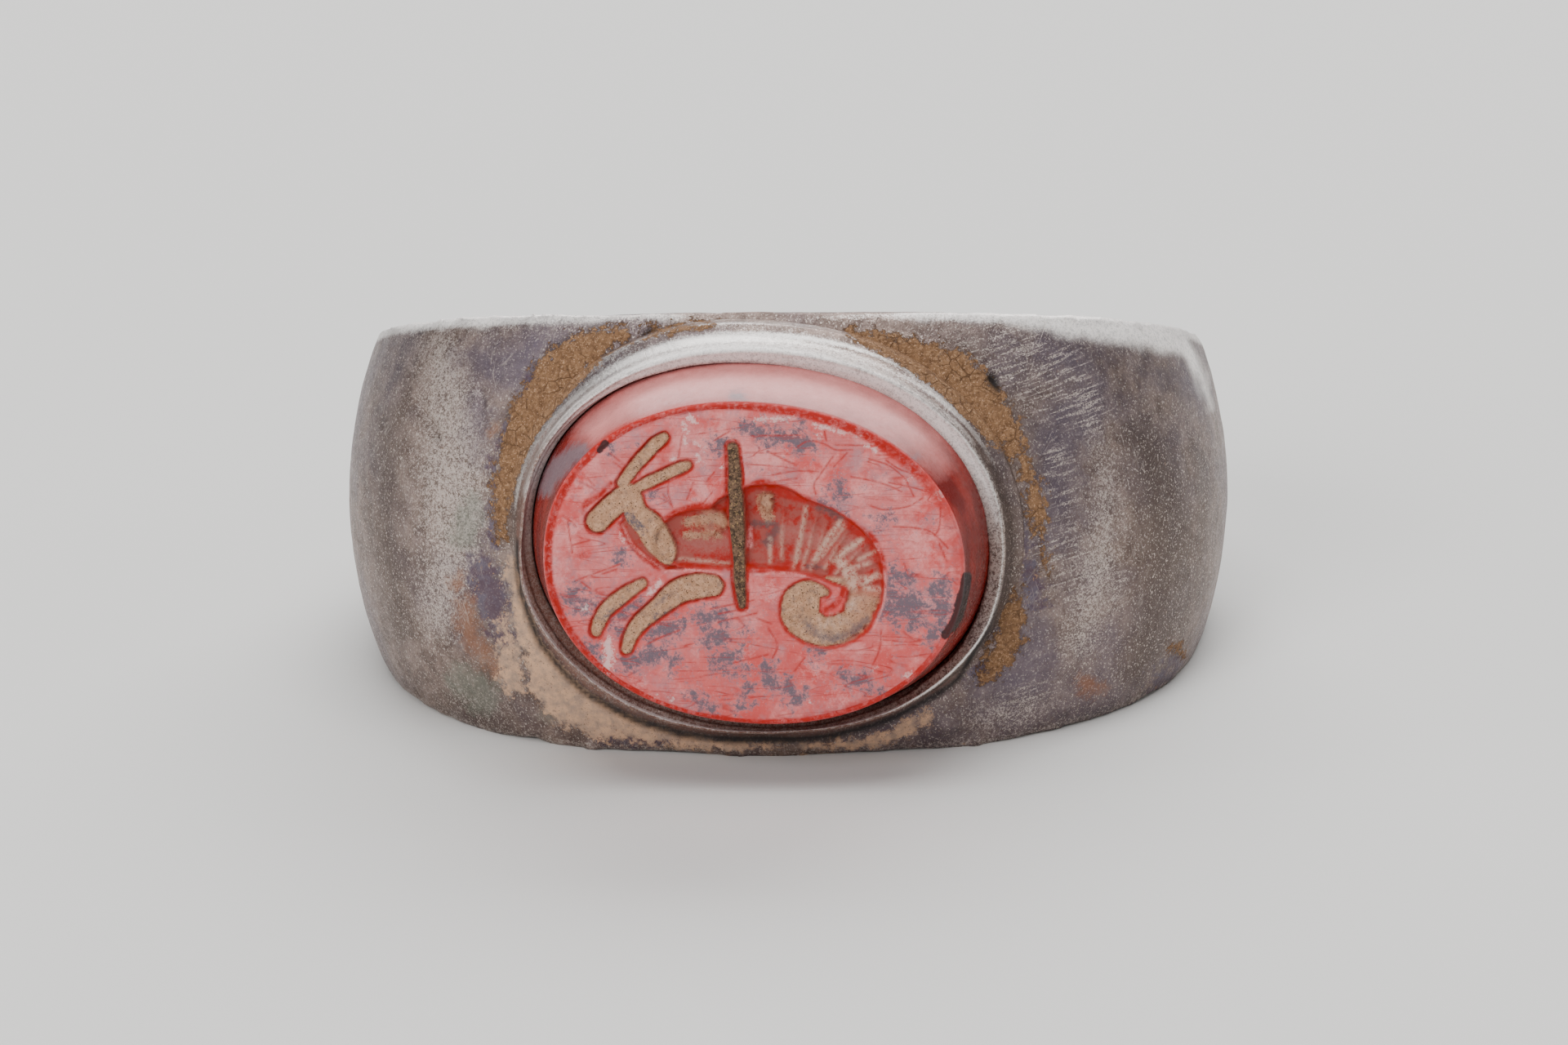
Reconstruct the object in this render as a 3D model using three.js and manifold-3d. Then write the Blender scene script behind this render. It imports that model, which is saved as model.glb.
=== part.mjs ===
// A Roman silver finger ring with an engraved red jasper, lying on its side as a loose ring lies.
// The hoop and its raised oval bezel are one casting, and the jasper is a second piece held by the bezel's collar.
// Millimetres, +Z up. The bezel faces -Y, and the ring rests on the filed edge of its hoop.
import * as THREE from "three";
import { mergeVertices } from "three/addons/utils/BufferGeometryUtils.js";
import Module from "manifold-3d";

const wasm = await Module();
wasm.setup();

// The hoop: a domed band, widest in front of the finger hole and squarer at the shoulders than at the back.
const ringWidth = 24.0;
const fingerHoleWidth = 19.8;
const fingerHoleDepth = 16.6;
const frontThickness = 1.75;
const backThickness = 1.35;
const shoulderSquareness = 2.44;
const domeHalfHeight = 12.05;

// The two edges of the band are filed flat, and close towards the back like a wedge.
const bandWidthAtBezel = 12.06;
const upperEdgeTaperDeg = 11.6;
const lowerEdgeTaperDeg = 12.3;
const edgeDipDepth = 0.16;
const edgeDipHalfLength = 4.2;
const edgeDipMiddle = 0.2;

// The jasper: an oval with a flat table, a steep polished bevel and a smaller underside.
const girdleWidth = 12.2;
const girdleHeight = 9.75;
const stoneThickness = 3.2;
const girdleLow = 0.45;
const girdleHigh = 0.85;
const undersideIn = 0.45;
const bevelIn = 0.5;
const tableEdgeRound = 0.14;
const tableDrop = 0.1;
const ovalSquareness = 2.12;
const ovalTurnDeg = -4.6;

// The bezel: a plinth with a flared foot and a thin collar rubbed over the stone's girdle.
const seatFloor = 0.6;
const settingGap = 0.1;
const collarHeight = 1.15;
const collarThickness = 0.38;
const collarLipDrop = 0.14;
const crestRoundIn = 0.06;
const crestRoundDrop = 0.08;
const footFlare = 0.44;
const footFlareHeight = 0.75;
const bezelTiltDeg = 5.5;
const bezelRight = 0.1;
const bezelRaise = 0.08;

// The engraving is laid out in shares of half the table's width, and its depths are shares of each stroke's own width.
const figureHalfLength = girdleWidth / 2 - bevelIn;
const tailRingHalfThickness = 0.07;
const tailRingExtraDepth = 0.08;

const holeFront = fingerHoleDepth / 2;
const stoneBase = holeFront + seatFloor;
const radians = THREE.MathUtils.degToRad;

// Joining and cutting

function solidFrom(geometry) {
  const bare = new THREE.BufferGeometry().setAttribute("position", geometry.getAttribute("position"));
  if (geometry.index) bare.setIndex(geometry.index);
  const merged = mergeVertices(bare, 1e-5);
  const corners = merged.index.array;
  const kept = [];
  for (let i = 0; i < corners.length; i += 3) {
    const [a, b, c] = [corners[i], corners[i + 1], corners[i + 2]];
    if (a !== b && b !== c && c !== a) kept.push(a, b, c);
  }
  return new wasm.Manifold(
    new wasm.Mesh({
      numProp: 3,
      vertProperties: new Float32Array(merged.attributes.position.array),
      triVerts: new Uint32Array(kept),
    }),
  );
}

function geometryFrom(solid) {
  const mesh = solid.getMesh();
  const positions = new Float32Array(mesh.numVert * 3);
  for (let i = 0; i < mesh.numVert; i++) {
    positions.set(mesh.vertProperties.subarray(i * mesh.numProp, i * mesh.numProp + 3), i * 3);
  }
  const geometry = new THREE.BufferGeometry().setAttribute("position", new THREE.BufferAttribute(positions, 3));
  geometry.setIndex(new THREE.BufferAttribute(new Uint32Array(mesh.triVerts), 1));
  geometry.computeVertexNormals();
  return geometry;
}

function mapVertices(geometry, move) {
  const place = geometry.getAttribute("position");
  const point = new THREE.Vector3();
  for (let i = 0; i < place.count; i++) {
    move(point.fromBufferAttribute(place, i));
    place.setXYZ(i, point.x, point.y, point.z);
  }
  return geometry;
}

// A share from -1 to 1 pushed outwards, which turns a circle into a squarer round.
const squared = (share, squareness) => Math.sign(share) * Math.abs(share) ** (2 / squareness);

// The hoop

// The whole outside as one closed egg, of which the band is the middle slice.
function hoopOutside() {
  const aroundSegments = 80;
  const rows = 44;
  const frontReach = holeFront + frontThickness;
  const backReach = holeFront + backThickness;
  const egg = new THREE.SphereGeometry(1, aroundSegments, rows).rotateX(Math.PI / 2);
  mapVertices(egg, (p) => {
    const level = Math.hypot(p.x, p.y);
    const side = level > 1e-6 ? p.x / level : 0;
    const forward = level > 1e-6 ? -p.y / level : 0;
    const squareness = forward > 0 ? shoulderSquareness : 2;
    const across = squared(side, squareness) * level * (ringWidth / 2);
    const ahead = squared(forward, squareness) * level * (forward > 0 ? frontReach : backReach);
    p.set(across, -ahead, p.z * domeHalfHeight);
  });
  return solidFrom(egg);
}

// The space between the two filed edges: a wedge seen from the side, drawn across the whole ring.
function edgeWedge() {
  const edge = (ahead, taperDeg) => bandWidthAtBezel / 2 + Math.tan(radians(taperDeg)) * (ahead - stoneBase);
  const front = ringWidth;
  const back = -ringWidth / 2;
  const side = new THREE.Shape([
    new THREE.Vector2(front, -edge(front, lowerEdgeTaperDeg)),
    new THREE.Vector2(front, edge(front, upperEdgeTaperDeg)),
    new THREE.Vector2(back, edge(back, upperEdgeTaperDeg)),
    new THREE.Vector2(back, -edge(back, lowerEdgeTaperDeg)),
  ]);
  const wedge = new THREE.ExtrudeGeometry(side, { depth: 2 * ringWidth, bevelEnabled: false });
  // The drawing's x runs ahead of the hole, which is -Y, and its y is up.
  wedge.translate(0, 0, -ringWidth);
  mapVertices(wedge, (p) => p.set(-p.z, -p.x, p.y));
  return solidFrom(wedge);
}

// A long shallow scoop over the bezel, where the upper edge is worn down a little.
function edgeDip() {
  const radius = (edgeDipHalfLength ** 2 + edgeDipDepth ** 2) / (2 * edgeDipDepth);
  const halfAngle = Math.asin(edgeDipHalfLength / radius);
  const scoop = new THREE.Shape();
  const steps = 8;
  for (let i = 0; i <= steps; i++) {
    const angle = halfAngle * ((2 * i) / steps - 1);
    const corner = [radius * Math.sin(angle), radius - edgeDipDepth - radius * Math.cos(angle)];
    if (i === 0) scoop.moveTo(...corner);
    else scoop.lineTo(...corner);
  }
  scoop.lineTo(edgeDipHalfLength, ringWidth / 4);
  scoop.lineTo(-edgeDipHalfLength, ringWidth / 4);
  const reach = ringWidth / 2;
  return solidFrom(
    new THREE.ExtrudeGeometry(scoop, { depth: reach, bevelEnabled: false })
      .translate(0, 0, -reach / 2)
      .rotateX(Math.PI / 2)
      .rotateX(-radians(upperEdgeTaperDeg))
      .translate(edgeDipMiddle, -stoneBase, bandWidthAtBezel / 2),
  );
}

function fingerHole() {
  const ellipse = new THREE.Shape();
  ellipse.absellipse(0, 0, fingerHoleWidth / 2, fingerHoleDepth / 2, 0, 2 * Math.PI);
  return solidFrom(
    new THREE.ExtrudeGeometry(ellipse, { depth: 2 * ringWidth, bevelEnabled: false, curveSegments: 80 }).translate(
      0,
      0,
      -ringWidth,
    ),
  );
}

// The bezel and the stone are drawn face up, on X and Y with +Z out of the stone, and stood at the front together.

function standAtFront(geometry) {
  return geometry.rotateX(Math.PI / 2 + radians(bezelTiltDeg)).translate(bezelRight, -stoneBase, bezelRaise);
}

// A solid oval turned from a profile of [distance outside the girdle, height], which starts and ends on the axis.
function turnedOval(profile) {
  const aroundSegments = 72;
  const narrower = (girdleWidth - girdleHeight) / 2;
  const points = profile.map(([out, height]) => new THREE.Vector2(girdleWidth / 2 + out, height));
  const foot = new THREE.Vector2(0, profile[0][1]);
  const top = new THREE.Vector2(0, profile[profile.length - 1][1]);
  const turned = new THREE.LatheGeometry([foot, ...points, top], aroundSegments).rotateX(Math.PI / 2);
  mapVertices(turned, (p) => {
    const radius = Math.hypot(p.x, p.y);
    if (radius < 1e-6) return p.set(0, 0, p.z);
    const across = squared(p.x / radius, ovalSquareness);
    const up = squared(p.y / radius, ovalSquareness);
    return p.set(across * radius, up * (radius - narrower), p.z);
  });
  return turned.rotateZ(radians(ovalTurnDeg));
}

function bezelPlinth() {
  const flareSteps = 5;
  const flare = [];
  for (let i = 0; i <= flareSteps; i++) {
    const turn = ((i / flareSteps) * Math.PI) / 2;
    flare.push([
      collarThickness + footFlare * (1 - Math.sin(turn)),
      footFlareHeight * (1 - Math.cos(turn)),
    ]);
  }
  const buried = [collarThickness + footFlare, -seatFloor];
  const crest = [
    [collarThickness, collarHeight - crestRoundDrop],
    [collarThickness - crestRoundIn, collarHeight],
    [-settingGap, collarHeight - collarLipDrop],
  ];
  return solidFrom(standAtFront(turnedOval([buried, ...flare, ...crest])));
}

// The stone's outside. Grown by the setting gap it is the hollow that the collar keeps for it.
function stoneBlank(gap = 0) {
  const roundSteps = 3;
  const profile = [
    [gap - undersideIn, -gap],
    [gap, girdleLow - gap],
    [gap, girdleHigh + gap],
  ];
  for (let i = 0; i <= roundSteps; i++) {
    const turn = ((i / roundSteps) * Math.PI) / 2;
    profile.push([
      gap - bevelIn - tableEdgeRound * (1 - Math.cos(turn)),
      stoneThickness + gap - tableEdgeRound * (1 - Math.sin(turn)),
    ]);
  }
  return mapVertices(turnedOval(profile), (p) => {
    p.y -= (tableDrop * Math.max(0, p.z - girdleHigh)) / (stoneThickness - girdleHigh);
  });
}

// The engraving: a goat-fish, with two horns, a fish's curled tail, two forelegs and an upright staff across its body

// A round-ended stroke of an engraver's wheel, sunk into the table. Each point is [x, y, half width].
function wheelStroke(points, { depthShare, steps = 14, sides = 12 }) {
  const at = points.map(([x, y]) => new THREE.Vector3(x, y, 0).multiplyScalar(figureHalfLength));
  const path = new THREE.CatmullRomCurve3(at);
  const widths = new THREE.CatmullRomCurve3(points.map(([, , half], i) => new THREE.Vector3(i, half, 0)));
  const length = path.getLength();
  const halfWidth = (share) => widths.getPoint(share).y * figureHalfLength;
  const rounding = (fromEnd, half) => Math.sqrt(Math.max(0, 1 - Math.max(0, 1 - fromEnd / half) ** 2));
  const profile = [];
  for (let i = 0; i <= steps; i++) {
    const share = (1 - Math.cos((Math.PI * i) / steps)) / 2;
    const half = halfWidth(share);
    const ends = i === 0 || i === steps ? 0 : rounding(Math.min(share, 1 - share) * length, half);
    profile.push(new THREE.Vector2(half * ends, share));
  }
  const rod = new THREE.LatheGeometry(profile, sides);
  const sideways = new THREE.Vector3();
  mapVertices(rod, (p) => {
    const share = THREE.MathUtils.clamp(p.y, 0, 1);
    const centre = path.getPoint(share);
    const along = path.getTangent(share);
    sideways.set(-along.y, along.x, 0).normalize();
    const [across, deep] = [p.z, p.x * depthShare];
    p.copy(centre).addScaledVector(sideways, across);
    p.z = deep;
  });
  return solidFrom(rod.translate(0, -tableDrop, stoneThickness));
}

const bodyAndTail = [
  [-0.45, 0.12, 0.08],
  [-0.3, 0.13, 0.15],
  [-0.12, 0.14, 0.16],
  [0.06, 0.18, 0.215],
  [0.22, 0.15, 0.195],
  [0.37, 0.09, 0.17],
  [0.49, 0.01, 0.135],
  [0.53, -0.1, 0.1],
  [0.53, -0.2, 0.085],
  [0.48, -0.29, 0.075],
  [0.39, -0.33, 0.08],
  [0.29, -0.31, 0.11],
  [0.24, -0.22, 0.09],
];

// Thin rounds cut square across the tail, which leave it ringed like a shrimp's.
function tailRings() {
  const count = 8;
  const firstShare = 0.47;
  const lastShare = 0.82;
  const path = new THREE.CatmullRomCurve3(bodyAndTail.map(([x, y]) => new THREE.Vector3(x, y, 0)));
  const widths = new THREE.CatmullRomCurve3(bodyAndTail.map(([, , half], i) => new THREE.Vector3(i, half, 0)));
  const rings = [];
  for (let i = 0; i < count; i++) {
    const share = firstShare + ((lastShare - firstShare) * i) / (count - 1);
    const half = widths.getPoint(share).y * figureHalfLength;
    const centre = path.getPoint(share).multiplyScalar(figureHalfLength);
    const along = path.getTangent(share);
    const ring = new THREE.SphereGeometry(1, 10, 6)
      .scale(tailRingHalfThickness, half * tailRingWidthShare, half * tailDepthShare + tailRingExtraDepth)
      .rotateZ(Math.atan2(along.y, along.x))
      .translate(centre.x, centre.y - tableDrop, stoneThickness);
    rings.push(solidFrom(ring));
  }
  return rings;
}

const limbDepthShare = 0.75;
const tailDepthShare = 0.42;
const tailRingWidthShare = 0.9;

function engraving() {
  const limb = { depthShare: limbDepthShare, steps: 9, sides: 10 };
  const muzzleAndHead = [
    [-0.82, 0.2, 0.035],
    [-0.77, 0.23, 0.055],
    [-0.69, 0.29, 0.06],
    [-0.6, 0.35, 0.075],
    [-0.53, 0.38, 0.045],
  ];
  const upperHorn = [
    [-0.64, 0.38, 0.03],
    [-0.535, 0.53, 0.032],
    [-0.39, 0.64, 0.022],
  ];
  const lowerHorn = [
    [-0.58, 0.37, 0.028],
    [-0.44, 0.44, 0.028],
    [-0.285, 0.505, 0.02],
  ];
  const neck = [
    [-0.61, 0.34, 0.05],
    [-0.53, 0.2, 0.078],
    [-0.44, 0.06, 0.075],
    [-0.38, 0.02, 0.04],
  ];
  const staff = [
    [-0.093, 0.59, 0.028],
    [-0.08, 0.2, 0.036],
    [-0.061, -0.215, 0.026],
  ];
  const nearForeleg = [
    [-0.19, -0.08, 0.04],
    [-0.27, -0.105, 0.068],
    [-0.42, -0.166, 0.038],
    [-0.567, -0.266, 0.03],
    [-0.63, -0.35, 0.028],
    [-0.62, -0.44, 0.018],
  ];
  const farForeleg = [
    [-0.44, 0.0, 0.02],
    [-0.52, -0.08, 0.026],
    [-0.7, -0.18, 0.035],
    [-0.785, -0.35, 0.02],
  ];
  return [
    wheelStroke(bodyAndTail, { depthShare: tailDepthShare, steps: 30, sides: 14 }),
    ...tailRings(),
    ...[muzzleAndHead, upperHorn, lowerHorn, neck, nearForeleg, farForeleg].map((points) => wheelStroke(points, limb)),
    wheelStroke(staff, { depthShare: 3, steps: 10, sides: 10 }),
  ].reduce((whole, cut) => whole.add(cut));
}

// The two pieces

function silverHoop() {
  const seat = solidFrom(standAtFront(stoneBlank(settingGap)));
  const band = hoopOutside().intersect(edgeWedge()).subtract(edgeDip());
  const cast = band.add(bezelPlinth()).subtract(fingerHole()).subtract(seat);
  const silver = new THREE.MeshStandardMaterial({ color: 0x8a827c, roughness: 0.45, metalness: 1 });
  const mesh = new THREE.Mesh(geometryFrom(cast), silver);
  mesh.name = "silver_hoop";
  return mesh;
}

function jasperIntaglio() {
  const cut = solidFrom(stoneBlank()).subtract(engraving());
  const jasper = new THREE.MeshStandardMaterial({ color: 0xb23a2c, roughness: 0.35, metalness: 0 });
  const mesh = new THREE.Mesh(standAtFront(geometryFrom(cut)), jasper);
  mesh.name = "jasper_intaglio";
  return mesh;
}

// The ring turned down onto its lower edge, with the origin under its middle

const ring = new THREE.Group();
ring.add(silverHoop(), jasperIntaglio());
ring.rotation.x = -radians(lowerEdgeTaperDeg);
ring.updateMatrixWorld(true);
const extent = new THREE.Box3().setFromObject(ring, true);
const middle = extent.getCenter(new THREE.Vector3());
ring.position.set(-middle.x, -middle.y, -extent.min.z);

const part = new THREE.Group();
part.add(ring);

export default part;
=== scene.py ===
import itertools
import math

import bpy
import numpy as np
from mathutils import Matrix, Vector


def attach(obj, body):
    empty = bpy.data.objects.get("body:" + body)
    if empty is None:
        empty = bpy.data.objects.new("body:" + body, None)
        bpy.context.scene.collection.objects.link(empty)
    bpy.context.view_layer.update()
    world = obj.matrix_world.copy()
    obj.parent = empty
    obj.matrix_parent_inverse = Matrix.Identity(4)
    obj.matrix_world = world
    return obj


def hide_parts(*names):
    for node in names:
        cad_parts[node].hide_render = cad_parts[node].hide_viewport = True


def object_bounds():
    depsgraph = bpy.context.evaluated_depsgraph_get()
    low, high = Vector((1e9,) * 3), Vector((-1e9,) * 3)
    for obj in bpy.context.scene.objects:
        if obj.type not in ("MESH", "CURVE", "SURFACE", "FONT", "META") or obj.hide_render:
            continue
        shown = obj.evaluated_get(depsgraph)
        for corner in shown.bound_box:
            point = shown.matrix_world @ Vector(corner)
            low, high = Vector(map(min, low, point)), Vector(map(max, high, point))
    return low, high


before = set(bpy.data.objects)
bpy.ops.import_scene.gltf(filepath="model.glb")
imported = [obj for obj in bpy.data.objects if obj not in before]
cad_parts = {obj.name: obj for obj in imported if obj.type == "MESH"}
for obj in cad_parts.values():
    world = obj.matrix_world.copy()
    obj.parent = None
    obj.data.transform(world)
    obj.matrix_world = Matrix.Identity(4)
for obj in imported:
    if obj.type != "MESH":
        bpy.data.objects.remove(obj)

cad_box = [list(corner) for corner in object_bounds()]

# The viewpoint
# The ring lies on the filed edge of its hoop and turns its bezel to a camera a hand's length away.
# Its place is that of the finger hole's middle, and its lean is the taper of the edge that it lies on.

MM = 0.001
LEAN = math.radians(-12.3)
HOLE_MIDDLE = Vector((0.0, 1.317, 3.996)) * MM
ring_frame = Matrix.Translation(HOLE_MIDDLE) @ Matrix.Rotation(LEAN, 4, "X")

PHOTO_WIDTH, PHOTO_HEIGHT = 1920, 1280
CAMERA_DISTANCE = 300 * MM
CAMERA_AZIMUTH = math.radians(5.5)
CAMERA_ELEVATION = math.radians(20.35)
CAMERA_ROLL = math.radians(2.03)
PIXELS_PER_METRE = 44897
BOX_MIDDLE_PIXEL = (959.6, 542.5)
SENSOR_WIDTH = 36.0
NEAREST_SEEN, FURTHEST_SEEN = 0.005, 10

box_middle = (Vector(cad_box[0]) + Vector(cad_box[1])) / 2
level_right = Vector((math.cos(CAMERA_AZIMUTH), math.sin(CAMERA_AZIMUTH), 0))
camera_back = Vector((
    math.sin(CAMERA_AZIMUTH) * math.cos(CAMERA_ELEVATION),
    -math.cos(CAMERA_AZIMUTH) * math.cos(CAMERA_ELEVATION),
    math.sin(CAMERA_ELEVATION),
))
level_up = camera_back.cross(level_right)
camera_right = level_right * math.cos(CAMERA_ROLL) - level_up * math.sin(CAMERA_ROLL)
camera_up = level_right * math.sin(CAMERA_ROLL) + level_up * math.cos(CAMERA_ROLL)
camera_place = (
    box_middle
    + camera_back * CAMERA_DISTANCE
    - camera_right * (BOX_MIDDLE_PIXEL[0] - PHOTO_WIDTH / 2) / PIXELS_PER_METRE
    + camera_up * (BOX_MIDDLE_PIXEL[1] - PHOTO_HEIGHT / 2) / PIXELS_PER_METRE
)

camera_data = bpy.data.cameras.new("camera")
camera_data.sensor_width = SENSOR_WIDTH
camera_data.lens = SENSOR_WIDTH * CAMERA_DISTANCE * PIXELS_PER_METRE / PHOTO_WIDTH
camera_data.clip_start = NEAREST_SEEN
camera_data.clip_end = FURTHEST_SEEN
camera = bpy.data.objects.new("camera", camera_data)
camera_turn = Matrix((camera_right, camera_up, camera_back)).transposed().to_4x4()
camera.matrix_world = Matrix.Translation(camera_place) @ camera_turn
bpy.context.scene.collection.objects.link(camera)
bpy.context.scene.camera = camera


def photo_pixels(points):
    """Where points of the row frame fall in the photograph, as an array of [across, down]."""
    axes = np.array([camera_right, camera_up, camera_back])
    across, up, back = axes @ (points - np.array(camera_place)).T
    scale = PIXELS_PER_METRE * CAMERA_DISTANCE / -back
    return np.column_stack([PHOTO_WIDTH / 2 + across * scale, PHOTO_HEIGHT / 2 - up * scale])


# Floor and light
# A matt pale table and soft boxes: a broad one overhead and behind, which the bevel and the edges catch,
# one before the bezel and a weak one at each side.

FLOOR_HALF = 1.5
FLOOR_COLOUR = (0.74, 0.73, 0.71, 1)
FLOOR_ROUGHNESS = 0.85
# Each lamp's place in metres, its watts, its width and its height.
SOFT_BOXES = {
    "overhead_back": ((0.05, 0.42, 0.36), 3.6, 0.7, 0.30),
    "overhead": ((0.03, -0.05, 0.55), 2.2, 0.45, 0.30),
    "front": ((-0.22, -0.50, 0.34), 1.9, 0.30, 0.30),
    "left": ((-0.55, -0.10, 0.18), 0.6, 0.20, 0.35),
    "right": ((0.50, -0.16, 0.20), 0.32, 0.20, 0.35),
}
ROOM_COLOUR = (0.86, 0.88, 0.92, 1)
ROOM_STRENGTH = 0.22

bpy.ops.object.select_all(action="DESELECT")
bpy.ops.mesh.primitive_plane_add(size=2 * FLOOR_HALF, location=(0, 0, 0))
floor = bpy.context.object
floor.name = "table_top"
floor_paint = bpy.data.materials.new("matt_table")
floor_paint.use_nodes = True
floor_shader = floor_paint.node_tree.nodes["Principled BSDF"]
floor_shader.inputs["Base Color"].default_value = FLOOR_COLOUR
floor_shader.inputs["Roughness"].default_value = FLOOR_ROUGHNESS
floor.data.materials.append(floor_paint)

for name, (place, watts, width, height) in SOFT_BOXES.items():
    lamp_data = bpy.data.lights.new(name, "AREA")
    lamp_data.shape = "RECTANGLE"
    lamp_data.size = width
    lamp_data.size_y = height
    lamp_data.energy = watts
    lamp = bpy.data.objects.new(name, lamp_data)
    lamp.location = place
    lamp.rotation_euler = (box_middle - Vector(place)).to_track_quat("-Z", "Y").to_euler()
    bpy.context.scene.collection.objects.link(lamp)

world = bpy.data.worlds.new("studio")
world.use_nodes = True
world.node_tree.nodes["Background"].inputs["Color"].default_value = ROOM_COLOUR
world.node_tree.nodes["Background"].inputs["Strength"].default_value = ROOM_STRENGTH
bpy.context.scene.world = world

# The jasper
# An oval of red jasper with a flat, worn table and a steep polished bevel, ground on a wheel and set from
# above. Its table carries the goat-fish, cut with small drills and wheels, whose hollows hold sand.

GIRDLE_HALF = (6.1, 4.875)
STONE_THICKNESS = 3.2
RIM_INSET = 0.64
RIM_HALF = (GIRDLE_HALF[0] - RIM_INSET, GIRDLE_HALF[1] - RIM_INSET)
BEVEL_TOP, BEVEL_FOOT_HEIGHT, BEVEL_STEPS = (0.5, 3.03), 0.85, 8
# Rows of how far in from the girdle and how high the stone's outside is, in millimetres.
WORN_RIM = [(RIM_INSET, STONE_THICKNESS), (0.6, 3.185), (0.555, 3.15), (0.52, 3.1), BEVEL_TOP]
UNDERSIDE = [(0, 0.45), (0.45, 0)]
POLISH_STARTS_BELOW = 0.08
OVAL_SQUARENESS = 2.12
OVAL_TURN = math.radians(-4.6)
TABLE_DROP = 0.1
TABLE_COLUMNS, TABLE_ROWS = 300, 236
STONE_BASE_AHEAD = 8.9
BEZEL_RIGHT, BEZEL_RAISE = 0.1, 0.08
BEZEL_TILT = math.radians(5.5)
TABLE_HALF = 5.5

bezel_frame = (
    ring_frame
    @ Matrix.Translation(Vector((BEZEL_RIGHT, -STONE_BASE_AHEAD, BEZEL_RAISE)) * MM)
    @ Matrix.Rotation(math.pi / 2 + BEZEL_TILT, 4, "X")
)


def lattice_noise(points, size, seed):
    """Smooth random values from -1 to 1, with bumps about size across."""
    values = np.random.default_rng(seed).uniform(-1, 1, (32, 32, 32))
    cell = np.atleast_2d(points) / size + 100
    low = np.floor(cell).astype(int)
    share = cell - low
    share = share * share * (3 - 2 * share)
    total = np.zeros(len(cell))
    for corner in itertools.product((0, 1), repeat=3):
        weight = np.prod(np.where(corner, share, 1 - share), axis=1)
        i, j, k = ((low + corner) % 32).T
        total += weight * values[i, j, k]
    return total


def layered_noise(points, size, seed):
    """Lattice noise with three finer and weaker copies laid over it."""
    return sum(0.5**i * lattice_noise(points, size * 0.5**i, seed + i) for i in range(4)) / 1.5


def ramp(values, low, high):
    """0 below low, 1 above high, and smooth between."""
    share = np.clip((values - low) / (high - low), 0, 1)
    return share * share * (3 - 2 * share)


def vertex_places(piece):
    places = np.empty(len(piece.data.vertices) * 3, np.float32)
    piece.data.vertices.foreach_get("co", places)
    return places.reshape(-1, 3).astype(float)


def set_vertex_places(piece, places):
    piece.data.vertices.foreach_set("co", np.asarray(places, np.float32).ravel())
    piece.data.update()


def paint(piece, name, values):
    """Keeps a value for each vertex under a name that materials can read."""
    layer = piece.data.attributes.new(name, "FLOAT", "POINT")
    layer.data.foreach_set("value", np.clip(values, 0, 1).astype(np.float32))


def squared(share, squareness):
    """A share from -1 to 1 pushed outwards, which turns a circle into a squarer round."""
    return np.sign(share) * np.abs(share) ** (2 / squareness)


def smooth_path(points, steps=12):
    """Rows of [x, y, half width] along a curve through the given rows."""
    p = np.array([points[0], *points, points[-1]], float)
    t = np.linspace(0, 1, steps, endpoint=False)[:, None]
    spans = []
    for a, b, c, d in zip(p, p[1:], p[2:], p[3:]):
        bend, twist = 2 * a - 5 * b + 4 * c - d, 3 * b - a - 3 * c + d
        spans.append(0.5 * (2 * b + (c - a) * t + bend * t**2 + twist * t**3))
    return np.vstack([*spans, p[-2:-1]])


def wheel_cut(places, points, roundness):
    """How far inside a stroke each place lies, and how deep its round cut is there, in millimetres."""
    inside = np.full(len(places), -9.0)
    depth = np.zeros(len(places))
    for x, y, half in smooth_path(points) * TABLE_HALF:
        away = np.hypot(places[:, 0] - x, places[:, 1] - y)
        inside = np.maximum(inside, half - away)
        depth = np.maximum(depth, roundness * np.sqrt(np.clip(half**2 - away**2, 0, None)))
    return inside, depth


def blend(share, below, above):
    return below * (1 - share) + above * share


def in_row_frame(points, own_frame):
    """Points in millimetres of a piece's own frame, as places in the row frame."""
    matrix = np.array(own_frame)
    return points * MM @ matrix[:3, :3].T + matrix[:3, 3]


def strokes_near(pixels, strokes, soft):
    """0 well outside the strokes, a half on their edges and 1 well inside, over soft pixels."""
    nearest = np.full(len(pixels), -99.0)
    for stroke in strokes:
        path = smooth_path(stroke, steps=4)
        path = path if len(path) > 1 else np.vstack([path, path])
        for start, end in zip(path, path[1:]):
            along = end[:2] - start[:2]
            share = np.clip((pixels - start[:2]) @ along / max(along @ along, 1e-9), 0, 1)
            away = np.hypot(*(pixels - start[:2] - share[:, None] * along).T)
            nearest = np.maximum(nearest, start[2] + share * (end[2] - start[2]) - away)
    return np.clip(0.5 + nearest / (2 * soft), 0, 1)


# Each row is the middle of a stroke and its half width, all in shares of half the table's width.
HEAD = [
    (-0.745, 0.214, 0.068), (-0.688, 0.27, 0.066), (-0.629, 0.318, 0.068), (-0.584, 0.345, 0.062),
]
UPPER_HORN = [
    (-0.622, 0.4, 0.038), (-0.559, 0.485, 0.041), (-0.505, 0.546, 0.042), (-0.455, 0.595, 0.042),
    (-0.413, 0.625, 0.033),
]
LOWER_HORN = [
    (-0.545, 0.378, 0.037), (-0.48, 0.411, 0.04), (-0.405, 0.447, 0.038), (-0.341, 0.475, 0.037),
    (-0.306, 0.488, 0.031),
]
NECK = [
    (-0.58, 0.33, 0.062), (-0.56, 0.252, 0.071), (-0.505, 0.194, 0.079), (-0.465, 0.122, 0.079),
    (-0.43, 0.066, 0.064), (-0.415, 0.03, 0.042),
]
CHEST = [
    (-0.604, 0.199, 0.03), (-0.565, 0.127, 0.045), (-0.51, 0.066, 0.047), (-0.445, 0.03, 0.055),
    (-0.36, 0.06, 0.09),
]
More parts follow.
